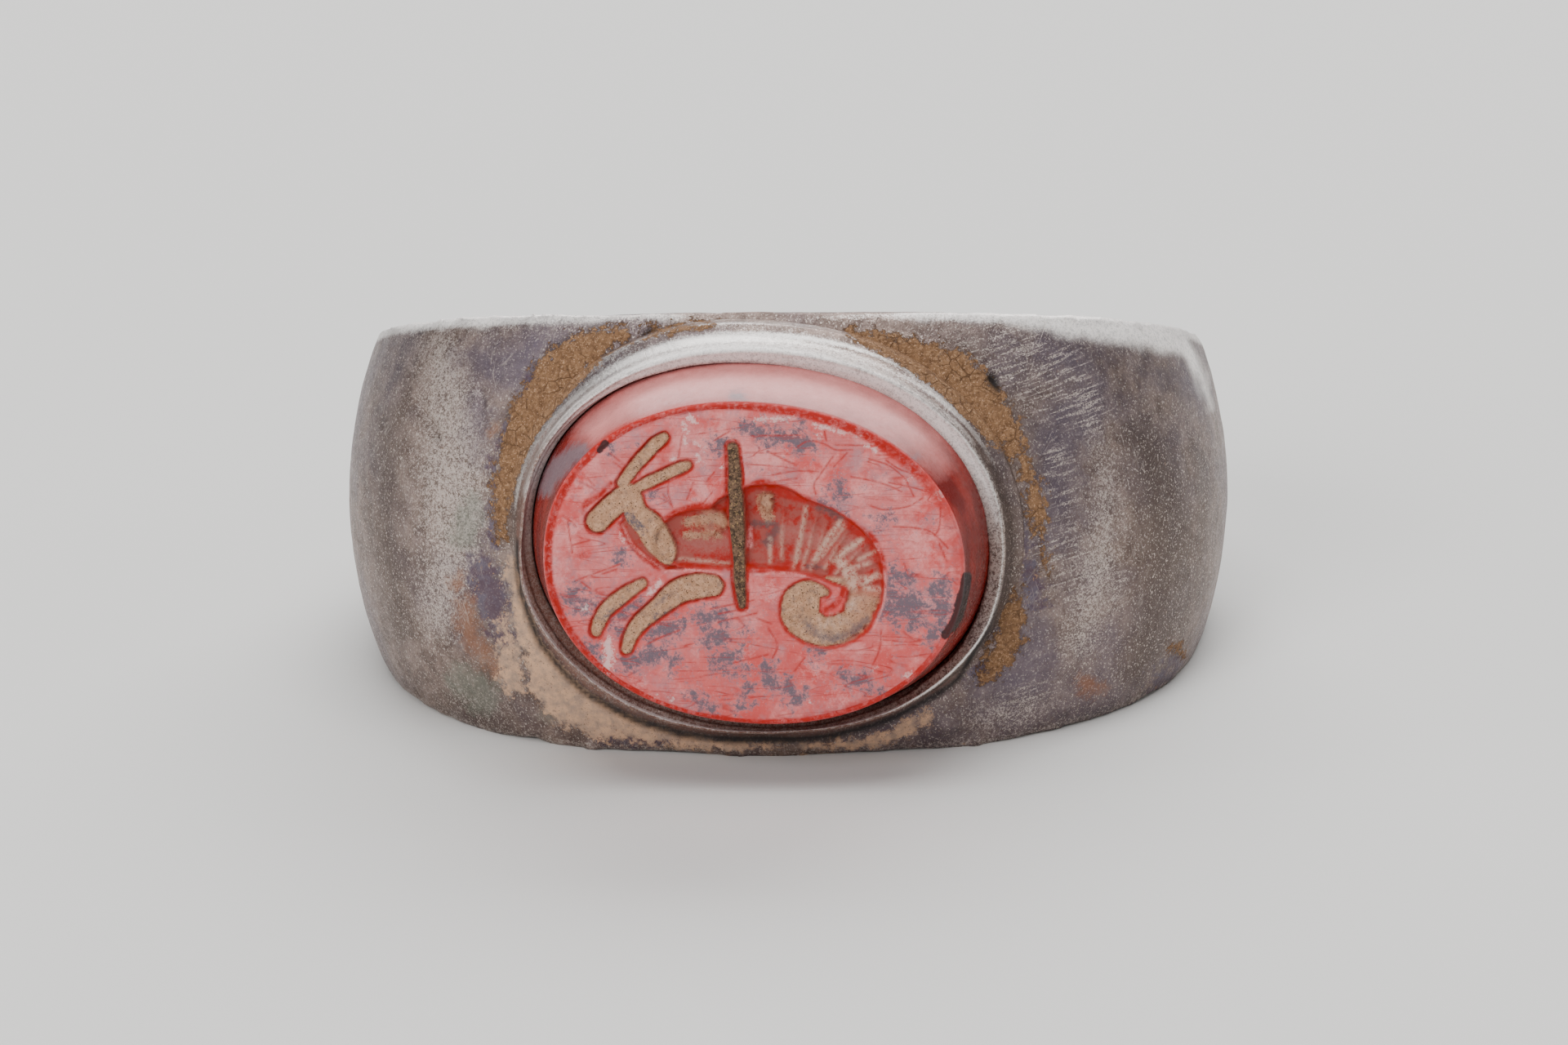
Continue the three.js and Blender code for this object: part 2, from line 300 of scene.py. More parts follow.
TRUNK = [
    (-0.37, 0.11, 0.12), (-0.29, 0.125, 0.15), (-0.19, 0.13, 0.155), (-0.08, 0.14, 0.17),
]
HAUNCH = [
    (-0.06, 0.165, 0.19), (0.06, 0.185, 0.215), (0.19, 0.15, 0.195), (0.31, 0.115, 0.18),
]
TAIL = [
    (0.31, 0.115, 0.18), (0.42, 0.06, 0.16), (0.49, -0.01, 0.13), (0.535, -0.09, 0.098),
    (0.528, -0.17, 0.09), (0.474, -0.286, 0.082), (0.345, -0.335, 0.082), (0.235, -0.28, 0.098),
    (0.222, -0.19, 0.1), (0.275, -0.135, 0.062), (0.34, -0.14, 0.03),
]
NEAR_LEG = [
    (-0.199, -0.107, 0.064), (-0.279, -0.112, 0.074), (-0.368, -0.137, 0.07), (-0.458, -0.209, 0.058),
    (-0.537, -0.275, 0.053), (-0.597, -0.347, 0.045), (-0.622, -0.419, 0.036),
]
FAR_LEG = [
    (-0.537, -0.091, 0.034), (-0.617, -0.142, 0.042), (-0.696, -0.204, 0.046), (-0.746, -0.275, 0.044),
    (-0.766, -0.332, 0.036),
]
STAFF = [
    (-0.088, 0.575, 0.034), (-0.08, 0.4, 0.042), (-0.074, 0.2, 0.046), (-0.07, 0.05, 0.04),
    (-0.066, -0.1, 0.036), (-0.06, -0.2, 0.026),
]
# Strokes laid across the tail, as [x, y, x, y], which leave it ringed.
TAIL_STROKES = [
    (0.145, 0.31, 0.13, 0.02), (0.255, 0.29, 0.19, -0.02), (0.315, 0.27, 0.235, -0.025),
    (0.37, 0.245, 0.275, -0.03), (0.47, 0.185, 0.34, -0.03), (0.55, 0.1, 0.39, -0.06),
    (0.6, 0.01, 0.42, -0.08), (0.61, -0.08, 0.44, -0.13), (0.6, -0.17, 0.44, -0.18),
    (0.57, -0.26, 0.43, -0.22), (0.51, -0.34, 0.4, -0.26), (0.43, -0.4, 0.36, -0.27),
    (0.33, -0.42, 0.31, -0.27),
]
STROKE_HALF_WIDTH = 0.012
# Each cut's middle line and the roundness of its bottom. The body's floor is shaped apart.
CUTS = {
    "head": (HEAD, 0.7), "upper_horn": (UPPER_HORN, 0.8), "lower_horn": (LOWER_HORN, 0.8),
    "neck": (NECK, 0.6), "chest": (CHEST, 0.5), "trunk": (TRUNK, 0), "haunch": (HAUNCH, 0),
    "tail": (TAIL, 0), "near_leg": (NEAR_LEG, 0.7), "far_leg": (FAR_LEG, 0.7), "staff": (STAFF, 0.9),
}
BODY_CUTS = ("trunk", "haunch", "tail")
FILLED_CUTS = ("head", "upper_horn", "lower_horn", "neck", "near_leg", "far_leg")
# Depths, heights and places in the table, in millimetres.
BODY_WALL, BODY_HOLLOW = 0.30, 0.12
RIDGE_HEIGHT = 0.055
FILL_LEVEL = 0.045
WALL_WIDTH = 0.07
GROOVE_DEPTH = 0.06
HAND_WANDER = 0.022
SADDLE, KNOB = (-1.1, 1.1), (0.3575, 1.65)

# What marks the stone, as strokes of [across, down, half width] in the photograph's pixels.
# Some of them are painted highlights and a painted sheen, as said beside each.
RED_WALLS = [
    [(812, 638, 4), (833, 626, 5), (860, 620, 5), (886, 623, 5)],
    [(914, 604, 3), (924, 595, 6), (940, 594, 7), (960, 604, 6), (980, 610, 5), (998, 616, 4)],
    [(1036, 640, 6), (1052, 650, 7), (1068, 664, 7), (1078, 685, 6), (1082, 705, 4), (1081, 730, 3)],
    [(815, 697, 4), (850, 693, 5), (892, 690, 6)], [(912, 696, 6), (950, 696, 6), (982, 691, 5)],
    [(759, 641, 3), (768, 658, 4), (780, 672, 3), (798, 688, 3)],
    [(748, 592, 3), (735, 606, 3), (718, 617, 4), (714, 628, 2)],
    [(1004, 750, 3), (1018, 744, 4), (1028, 733, 4), (1033, 722, 4)],
    [(1015, 789, 3), (1035, 782, 4), (1055, 772, 3)],
]
SCRATCH_HALF = 0.6
SCRATCHES = [
    [(920, 534), (981, 533)], [(977, 547), (991, 540), (1010, 544), (1023, 551), (1044, 551)],
    [(1008, 522), (1012, 540)], [(1020, 559), (1004, 582), (997, 593), (999, 606)],
    [(1037, 555), (1021, 572)], [(1023, 545), (1073, 546)], [(945, 582), (975, 577), (1002, 578)],
    [(948, 590), (976, 586)], [(1042, 584), (1077, 591), (1104, 602)],
    [(1085, 564), (1104, 576), (1129, 583)], [(1088, 591), (1117, 597), (1138, 603)],
    [(1111, 591), (1119, 608)], [(1092, 624), (1113, 620), (1130, 610)],
    [(1094, 645), (1130, 648), (1146, 656), (1161, 672)], [(1152, 622), (1150, 647), (1144, 656)],
    [(1150, 666), (1159, 687)], [(1062, 618), (1079, 624), (1088, 624)],
    [(1064, 562), (1090, 571), (1112, 590)], [(751, 566), (762, 574)], [(747, 555), (766, 571)],
    [(713, 580), (728, 595)], [(707, 589), (732, 601)], [(866, 589), (875, 578)],
    [(849, 591), (841, 612)], [(872, 603), (860, 618)], [(812, 605), (824, 622)],
    [(700, 668), (722, 662)], [(695, 639), (701, 677)], [(690, 632), (706, 645)],
    [(875, 539), (894, 528)], [(820, 583), (818, 602), (823, 620)], [(831, 560), (835, 535)],
    [(940, 553), (975, 570)], [(705, 711), (735, 700), (759, 691)], [(738, 703), (756, 697)],
    [(712, 713), (724, 722)], [(870, 746), (923, 735)], [(879, 762), (927, 751)],
    [(880, 752), (915, 745)], [(898, 812), (940, 802)], [(790, 790), (818, 777)],
    [(800, 784), (832, 772)], [(1079, 772), (1077, 795), (1069, 814)], [(1106, 774), (1123, 787)],
    [(940, 768), (952, 790), (946, 806)], [(926, 757), (944, 764)], [(985, 806), (973, 822)],
    [(1107, 690), (1112, 704)], [(690, 745), (684, 760)],
]
SLATE_PATCHES = [
    [(703, 730, 11), (716, 742, 9)], [(747, 757, 9), (762, 748, 9), (778, 738, 7)], [(758, 770, 5)],
    [(724, 795, 9), (728, 800, 8)], [(768, 812, 8), (790, 806, 9), (812, 797, 9)],
    [(805, 753, 5), (824, 751, 6)], [(856, 757, 7), (889, 758, 9)], [(870, 780, 12), (884, 784, 8)],
    [(915, 774, 5)], [(822, 814, 5)], [(918, 843, 9), (908, 859, 8)], [(848, 853, 6), (866, 870, 8)],
    [(889, 822, 5), (908, 825, 4)], [(945, 835, 9), (968, 845, 9), (976, 854, 7)],
    [(1038, 830, 8), (1055, 836, 7), (1075, 844, 4)], [(1100, 704, 10), (1114, 708, 7)],
    [(1086, 745, 12), (1108, 751, 13), (1120, 760, 7)], [(1139, 780, 10), (1152, 760, 9)],
    [(743, 546, 5)], [(910, 526, 6)], [(799, 607, 4)], [(764, 675, 3), (761, 684, 4)], [(1083, 637, 7)],
    [(1004, 622, 7), (1022, 629, 7)], [(1027, 592, 5), (1027, 612, 6)], [(975, 527, 8)],
    [(769, 628, 6), (786, 648, 6)], [(1090, 728, 16), (1122, 742, 14)],
    [(1150, 716, 12), (1152, 750, 13)], [(900, 800, 10), (880, 812, 8)], [(940, 820, 9)],
    [(795, 775, 9), (828, 768, 8)], [(1000, 800, 6)], [(930, 530, 10), (990, 545, 8)], [(880, 545, 8)],
]
GLINTS = [
    [(919, 646, 2), (918, 668, 3.5)], [(762, 643, 1), (775, 668, 1), (795, 685, 1), (812, 697, 1)],
    [(815, 700, 1.2), (850, 698, 1.2), (885, 704, 1)], [(925, 704, 1), (960, 702, 1.2), (985, 706, 1)],
    [(1084, 700, 1), (1083, 735, 1), (1070, 770, 1)],
]
PALE_PATCHES = [
    [(676, 690, 9), (684, 704, 8)], [(1056, 601, 10), (1072, 604, 8)], [(1122, 662, 15), (1130, 676, 12)],
    [(1166, 735, 7), (1162, 752, 8), (1150, 768, 7)], [(860, 540, 10), (885, 532, 10)],
    [(930, 560, 14), (960, 560, 10)], [(860, 600, 16)], [(716, 600, 10)], [(700, 650, 12)],
    [(990, 590, 10)], [(905, 800, 12)], [(780, 845, 10)], [(1000, 815, 12)], [(1030, 860, 10)],
    [(945, 725, 12)],
]
# Chalk and chips, and among them painted highlights: the pale line down the chest and the light spot beside
# the staff.
CHALK_AND_HIGHLIGHT_SPOTS = [
    [(845, 513, 5), (850, 516, 4)], [(839, 520, 2.5), (839, 543, 2)], [(853, 542, 2), (862, 550, 2.5)],
    [(854, 558, 3), (857, 566, 3)], [(824, 561, 2.5), (828, 566, 2)], [(883, 572, 2)], [(716, 746, 4)],
    [(744, 786, 6), (746, 805, 7), (742, 824, 5)], [(808, 714, 3), (797, 726, 4)], [(801, 854, 2)],
    [(822, 856, 2)], [(989, 858, 2.5)], [(1073, 818, 2)], [(1113, 827, 4)], [(1151, 606, 5)],
    [(929, 514, 3), (970, 512, 3)], [(1000, 521, 3), (1052, 534, 3)], [(1063, 546, 3), (1072, 550, 3)],
    [(917, 650, 3), (921, 671, 4)], [(806, 656, 1.5), (771, 668, 1.2), (757, 644, 1)], [(1004, 533, 2)],
    [(1112, 587, 2)],
]
TAIL_CRUST = [
    [(1029, 640, 3), (1012, 662, 3.5), (998, 686, 3)], [(1034, 644, 1), (1016, 668, 1.5), (1004, 684, 1)],
    [(1054, 662, 3), (1036, 674, 3.5), (1022, 687, 3)], [(987, 622, 2), (981, 655, 2), (975, 688, 2.5)],
    [(1029, 688, 6), (1041, 704, 8), (1045, 719, 6)], [(1058, 713, 6), (1074, 704, 2)], [(1042, 742, 6)],
    [(1071, 676, 1), (1050, 686, 1.5)], [(1064, 690, 1.5), (1038, 697, 2)],
    [(1078, 706, 1.5), (1050, 708, 2)], [(943, 660, 1.5), (943, 688, 1)],
    [(1076, 722, 2), (1060, 720, 3)], [(832, 684, 0.8), (862, 687, 1), (892, 690, 0.8)],
    [(1010, 768, 1), (1018, 752, 0.5)], [(1030, 766, 1), (1026, 752, 0.5)],
]
BODY_SAND = [
    [(842, 638, 7), (872, 634, 9), (886, 640, 7)], [(842, 656, 5), (880, 655, 5)],
    [(936, 612, 9), (940, 634, 7)],
]
BODY_BLUSH = [
    [(836, 664, 10), (888, 664, 12)], [(960, 650, 12), (1000, 660, 12)],
    [(1040, 665, 12), (1060, 690, 10)],
]
BODY_SHADE = [
    [(922, 642, 6), (950, 644, 6), (940, 664, 8)], [(1000, 620, 6), (1020, 627, 7), (1032, 638, 5)],
    [(984, 692, 4), (1006, 695, 4)], [(770, 630, 5), (782, 646, 6)],
    [(990, 768, 6), (1012, 782, 7), (1040, 776, 7), (1062, 758, 6)], [(820, 728, 3), (800, 742, 3)],
]
# Painted sheen: the pale pink reflection of the overhead light along the upper bevel.
BEVEL_SHEEN_PLACE = [
    [(728, 528, 14), (770, 497, 18), (820, 476, 22), (880, 469, 25), (950, 470, 26), (1020, 482, 26),
     (1080, 505, 24), (1128, 538, 16), (1150, 565, 6)],
]
BEVEL_CLOUDS = [
    [(668, 600, 8), (684, 572, 13), (712, 552, 10)], [(898, 486, 9), (906, 485, 9)], [(1120, 560, 5)],
]
BLACK_FLAWS = [
    [(1184, 706, 6), (1178, 735, 7), (1172, 757, 7), (1157, 778, 5)], [(741, 544, 5), (735, 551, 4)],
]


def table_blank():
    """The stone, from a grid drawn out into an oval whose rim is extruded down the bevel to the underside."""
    bpy.ops.object.select_all(action="DESELECT")
    bpy.ops.mesh.primitive_grid_add(x_subdivisions=TABLE_COLUMNS, y_subdivisions=TABLE_ROWS, size=2)
    stone = bpy.context.object
    stone.name = "engraved_jasper"
    square = vertex_places(stone)
    across = square[:, 0] * np.sqrt(1 - square[:, 1] ** 2 / 2)
    up = square[:, 1] * np.sqrt(1 - square[:, 0] ** 2 / 2)
    reach = np.hypot(across, up)
    safe = np.maximum(reach, 1e-9)
    set_vertex_places(stone, MM * np.column_stack([
        squared(across / safe, OVAL_SQUARENESS) * reach * RIM_HALF[0],
        squared(up / safe, OVAL_SQUARENESS) * reach * RIM_HALF[1],
        np.full(len(square), STONE_THICKNESS),
    ]))
    bpy.ops.object.mode_set(mode="EDIT")
    bpy.ops.mesh.select_mode(type="EDGE")
    bpy.ops.mesh.select_all(action="DESELECT")
    bpy.ops.mesh.select_non_manifold()
    bevel = [
        (blend(share, BEVEL_TOP[0], 0), blend(share, BEVEL_TOP[1], BEVEL_FOOT_HEIGHT))
        for share in np.linspace(0, 1, BEVEL_STEPS + 1)[1:]
    ]
    steps = WORN_RIM + bevel + UNDERSIDE
    for (inset, height), (next_inset, next_height) in zip(steps, steps[1:]):
        bpy.ops.mesh.extrude_region_move(
            TRANSFORM_OT_translate={"value": (0, 0, (next_height - height) * MM)}
        )
        bpy.ops.transform.resize(
            value=(
                (GIRDLE_HALF[0] - next_inset) / (GIRDLE_HALF[0] - inset),
                (GIRDLE_HALF[1] - next_inset) / (GIRDLE_HALF[1] - inset),
                1,
            ),
            center_override=(0, 0, 0),
        )
    bpy.ops.mesh.edge_face_add()
    bpy.ops.mesh.select_all(action="SELECT")
    bpy.ops.mesh.normals_make_consistent(inside=False)
    bpy.ops.object.mode_set(mode="OBJECT")
    return stone


def engrave(stone):
    """Sinks the figure into the table, fills its hollows with sand, and wears the table's rim."""
    untilted = vertex_places(stone) / MM
    turn = np.array(Matrix.Rotation(OVAL_TURN, 3, "Z"))
    places = untilted @ turn.T
    on_table = places[:, 2] > STONE_THICKNESS - 0.01
    flat = places[:, :2]
    drawn = flat + HAND_WANDER * np.column_stack([lattice_noise(places, 0.35, seed) for seed in (3, 4)])
    grain = lattice_noise(places, 0.09, 7)
    fine = lattice_noise(places, 0.045, 8)

    cuts = {name: wheel_cut(drawn, points, roundness) for name, (points, roundness) in CUTS.items()}
    inside = np.max([cut[0] for cut in cuts.values()], axis=0)
    depth = np.max([cut[1] for cut in cuts.values()], axis=0)

    # The body's wall is steep and its floor is nearly level, and the tail's strokes stand in that floor.
    body_inside = np.max([cuts[name][0] for name in BODY_CUTS], axis=0)
    body_floor = BODY_WALL * ramp(body_inside, 0, 0.16) + BODY_HOLLOW * ramp(body_inside, 0.1, 0.7)
    depth = np.where(body_inside > 0, body_floor, depth)
    crust = np.zeros(len(flat))
    for stroke in TAIL_STROKES:
        start, end = np.array(stroke).reshape(2, 2) * TABLE_HALF
        reach = end - start
        along = np.clip((drawn - start) @ reach / (reach @ reach), 0, 1)
        away = np.hypot(*(drawn - start - along[:, None] * reach).T)
        ridge = np.exp(-((away / (STROKE_HALF_WIDTH * TABLE_HALF)) ** 2)) * ramp(body_inside, 0.03, 0.12)
        depth = depth - RIDGE_HEIGHT * ridge
        crust = np.maximum(crust, ridge * ramp(along, 0.1, 0.8))

    # Sand packs the head, neck, legs and the curl of the tail nearly level with the table.
    packed = np.max([cuts[name][0] for name in FILLED_CUTS], axis=0)
    in_tail = cuts["tail"][0]
    share_x, share_y = flat.T / TABLE_HALF
    curl = ramp(share_x, 0.52, 0.38) * (share_y < -0.07)
    heel = ramp(share_x, 0.38, 0.52) * ramp(share_y, -0.1, -0.2)
    saddle = 0.36 - np.hypot((flat[:, 0] - SADDLE[0]) / 1.5, flat[:, 1] - SADDLE[1])
    saddle = np.minimum(saddle + 0.12 * grain, cuts["trunk"][0] - 0.05)
    knob = 0.22 - np.hypot(flat[:, 0] - KNOB[0], (flat[:, 1] - KNOB[1]) / 1.4)
    knob = np.minimum(knob + 0.08 * grain, cuts["haunch"][0] - 0.06)
    sand = np.maximum.reduce([
        ramp(packed + 0.012 * fine, WALL_WIDTH * 0.7, WALL_WIDTH * 1.2),
        curl * ramp(in_tail + 0.012 * fine, WALL_WIDTH * 0.8, WALL_WIDTH * 1.3)
        + 0.85 * heel * ramp(in_tail + 0.05 * grain, WALL_WIDTH, WALL_WIDTH * 2.4),
        0.4 * ramp(saddle, 0, 0.1),
        0.8 * ramp(knob, 0, 0.08),
    ])
    open_floor = (body_inside > 0.1) * (1 - curl * (in_tail > 0))
    level = FILL_LEVEL + 0.1 * open_floor + 0.012 * grain + 0.008 * fine
    depth = blend(sand, depth, np.minimum(level, depth))

    # The staff is a deep narrow cut choked with dark earth that stands a little proud of the sand.
    in_staff = cuts["staff"][0]
    earth = ramp(in_staff, 0.02, 0.07)
    depth = blend(earth, depth, 0.03 * grain + 0.02 * fine)
    groove = ramp(in_staff, -0.07, -0.02) * (1 - earth)
    depth = np.maximum(depth, GROOVE_DEPTH * groove)

    powers = [np.abs(untilted[:, i] / RIM_HALF[i]) ** OVAL_SQUARENESS for i in (0, 1)]
    to_rim = (1 - sum(powers) ** (1 / OVAL_SQUARENESS)) * RIM_HALF[1]
    worn = ramp(lattice_noise(places, 1.3, 11) * 0.5 + 0.5, 0.25, 0.9)
    rim_round = (0.03 + 0.05 * worn) * ramp(-to_rim, -0.28, 0.0) ** 2
    scuff = 0.004 * lattice_noise(places, 0.6, 12) + 0.002 * fine
    sunk = places[:, 2] - np.where(on_table, depth + rim_round + scuff, 0)
    above_girdle = np.clip(places[:, 2] - BEVEL_FOOT_HEIGHT, 0, None) / (STONE_THICKNESS - BEVEL_FOOT_HEIGHT)
    shaped = np.column_stack([places[:, 0], places[:, 1] - TABLE_DROP * above_girdle, sunk])
    set_vertex_places(stone, in_row_frame(shaped, bezel_frame))

    on = on_table.astype(float)
    pixels = photo_pixels(vertex_places(stone))
    walls = ramp(strokes_near(pixels, RED_WALLS, 3), 0.1, 0.9)
    cut_edge = np.exp(-(((inside - 0.02) / 0.05) ** 2))
    scratches = [[(*point, SCRATCH_HALF) for point in line] for line in SCRATCHES]
    in_body = on * ramp(body_inside, 0.12, 0.3)
    paint(stone, "sand", on * sand)
    paint(stone, "earth", on * earth)
    paint(stone, "crust", on * crust)
    paint(stone, "hollow", on * ramp(inside, 0, 0.05))
    paint(stone, "cut_edge", on * np.maximum.reduce([cut_edge, groove, walls]))
    for name, strokes, soft, where in (
        ("drawn_scratch", scratches, 1.3, 1.4 * on), ("slate", SLATE_PATCHES, 17, on),
        # The chalk strokes include painted highlights.
        ("pale", PALE_PATCHES, 20, on), ("chalk_and_highlight", CHALK_AND_HIGHLIGHT_SPOTS, 6, 1), ("glint", GLINTS, 1.5, on),
        ("tail_crust", TAIL_CRUST, 3, on),
        ("body_sand", BODY_SAND, 7, in_body), ("body_blush", BODY_BLUSH, 14, in_body),
        # The bevel's sheen strokes are a painted reflection of the overhead light.
        ("body_shade", BODY_SHADE, 6, on * ramp(inside, 0.02, 0.1)), ("bevel_sheen", BEVEL_SHEEN_PLACE, 30, 1),
        ("cloud", BEVEL_CLOUDS, 14, 1), ("flaw", BLACK_FLAWS, 4, ramp(places[:, 2], 0.8, 1.2)),
    ):
        paint(stone, name, strokes_near(pixels, strokes, soft) * where)
    paint(stone, "low_side", ramp(pixels[:, 1], 690, 800))
    upper_right = ramp(places[:, 0] + places[:, 1], 2.5, 6)
    left_side = ramp(-places[:, 0], 3.6, 5.0)
    right_side = ramp(places[:, 0], 4.2, 5.2)
    rim_width = 0.03 + 0.10 * upper_right + 0.05 * left_side + 0.025 * lattice_noise(places, 0.5, 13)
    table_rim = ramp(1.6 - to_rim / rim_width, 0, 1.0) * (1 - 0.6 * right_side)
    bevel_rim = ramp(places[:, 2] - 0.08 * (upper_right + left_side - 1), 3.05, 3.15) * (1 - 0.5 * right_side)
    paint(stone, "rim", np.where(on_table, table_rim, bevel_rim))


class Finish:
    """A procedural material, as a chain of nodes that read the piece's own coordinates in millimetres."""

    def __init__(self, name):
        self.material = bpy.data.materials.new(name)
        self.material.use_nodes = True
        self.tree = self.material.node_tree
        self.shader = self.tree.nodes["Principled BSDF"]
        coordinates = self.tree.nodes.new("ShaderNodeTexCoord")
        self.here = self.mapped(coordinates.outputs["Object"], scale=(1 / MM, 1 / MM, 1 / MM))

    def node(self, kind, *inputs, **settings):
        made = self.tree.nodes.new(kind)
        for key, value in settings.items():
            setattr(made, key, value)
        for socket, value in zip(made.inputs, inputs):
            if value is not None:
                self.set(socket, value)
        return made

    def set(self, socket, value):
        if isinstance(value, bpy.types.NodeSocket):
            self.tree.links.new(value, socket)
        else:
            socket.default_value = value

    def shade(self, **values):
        """Sets sockets of the shader, such as Base_Color, to a value or to another node's output."""
        for name, value in values.items():
            self.set(self.shader.inputs[name.replace("_", " ")], value)

    def mapped(self, vector, turn=(0, 0, 0), scale=(1, 1, 1)):
        return self.node("ShaderNodeMapping", vector, None, turn, scale).outputs[0]

    def noise(self, size, detail=3.0, rough=0.55, vector=None, turn=(0, 0, 0), stretch=(1, 1, 1), swirl=0.0):
        made = self.node("ShaderNodeTexNoise", self.mapped(vector or self.here, turn, stretch))
        for name, value in (("Scale", size), ("Detail", detail), ("Roughness", rough), ("Distortion", swirl)):
            made.inputs[name].default_value = value
        return made.outputs["Fac"]

    def value(self, name):
        return self.node("ShaderNodeAttribute", attribute_name=name).outputs["Fac"]

    def math(self, operation, a, b=0.0):
        return self.node("ShaderNodeMath", a, b, operation=operation).outputs[0]

    def times(self, a, b):
        return self.math("MULTIPLY", a, b)

    def plus(self, a, b):
        return self.math("ADD", a, b)

    def less(self, a, b):
        return self.math("SUBTRACT", a, b)

    def most(self, a, b):
        return self.math("MAXIMUM", a, b)

    def between(self, value, low, high, out_low=0.0, out_high=1.0):
        return self.node("ShaderNodeMapRange", value, low, high, out_low, out_high).outputs[0]

    def patch(self, name, ragged, low, high, strength=1.0):
        """A painted patch whose border is broken up by noise."""
        return self.between(self.plus(self.value(name), ragged), low, high, 0, strength)

    def mix(self, share, below, above):
        made = self.node("ShaderNodeMix", data_type="RGBA")
        for name, value in (("Factor_Float", share), ("A_Color", below), ("B_Color", above)):
            self.set(next(s for s in made.inputs if s.identifier == name), value)
        return next(s for s in made.outputs if s.identifier == "Result_Color")

    def hairs(self, turn, size, thin, patch, seed):
        """Fine curved scratches that run one way, in patches: 1 on a scratch and 0 beside it."""
        wave = self.noise(size, 1.5, 0.4, turn=(0, turn, seed), stretch=(0.12, 1, 1), swirl=0.15)
        line = self.between(self.math("ABSOLUTE", self.less(wave, 0.5)), 0.0, thin, 1.0, 0.0)
        return self.times(line, self.between(self.noise(patch, 2, 0.5, turn=(seed, 1.0, 0)), 0.45, 0.53))

    def bump(self, height, distance, strength):
        made = self.node("ShaderNodeBump")
        made.inputs["Strength"].default_value = strength
        made.inputs["Distance"].default_value = distance
        self.set(made.inputs["Height"], height)
        return made.outputs["Normal"]


HAZE_PINK = (0.69, 0.178, 0.174, 1)
HAZE_PALE = (0.90, 0.350, 0.335, 1)
HAZE_LILAC = (0.42, 0.225, 0.245, 1)
HAZE_SLATE = (0.115, 0.105, 0.132, 1)
HAZE_ROSE = (0.67, 0.090, 0.084, 1)
RAW_RED = (0.42, 0.014, 0.008, 1)
RIM_RED = (0.45, 0.014, 0.008, 1)
BEVEL_RED = (0.155, 0.010, 0.008, 1)
BEVEL_WARM = (0.26, 0.016, 0.010, 1)
# Pale pink of the painted sheen on the upper bevel.
BEVEL_SHEEN_PINK = (0.74, 0.270, 0.255, 1)
BEVEL_CLOUD = (0.20, 0.150, 0.170, 1)
HOLLOW_RED = (0.38, 0.082, 0.066, 1)
HOLLOW_BLUSH = (0.44, 0.140, 0.120, 1)
HOLLOW_SHADE = (0.125, 0.070, 0.072, 1)
SAND = (0.48, 0.260, 0.150, 1)
SAND_PALE = (0.68, 0.400, 0.250, 1)
SAND_GREY = (0.28, 0.180, 0.135, 1)
SAND_SPECK = (0.07, 0.045, 0.030, 1)
EARTH = (0.215, 0.125, 0.078, 1)
EARTH_DARK = (0.060, 0.038, 0.026, 1)
EARTH_PALE = (0.42, 0.260, 0.120, 1)
CRUST = (0.70, 0.470, 0.360, 1)
# Near white of chalk and chips, and of painted highlights.
CHALK_AND_HIGHLIGHT_WHITE = (0.86, 0.600, 0.570, 1)
INCLUSION = (0.012, 0.010, 0.011, 1)
JASPER_SPECULAR = 0.22
# Families of hairline scratches: their turn, size, thinness, the size of their patches, and a seed.
HAIRS = [
    (0.25, 1.3, 0.008, 0.6, 0.3), (1.0, 1.5, 0.008, 0.7, 1.1), (1.7, 1.2, 0.007, 0.6, 2.2),
    (2.4, 1.6, 0.008, 0.8, 3.1), (0.6, 1.9, 0.009, 0.9, 4.4), (2.9, 1.4, 0.007, 0.7, 5.2),
]


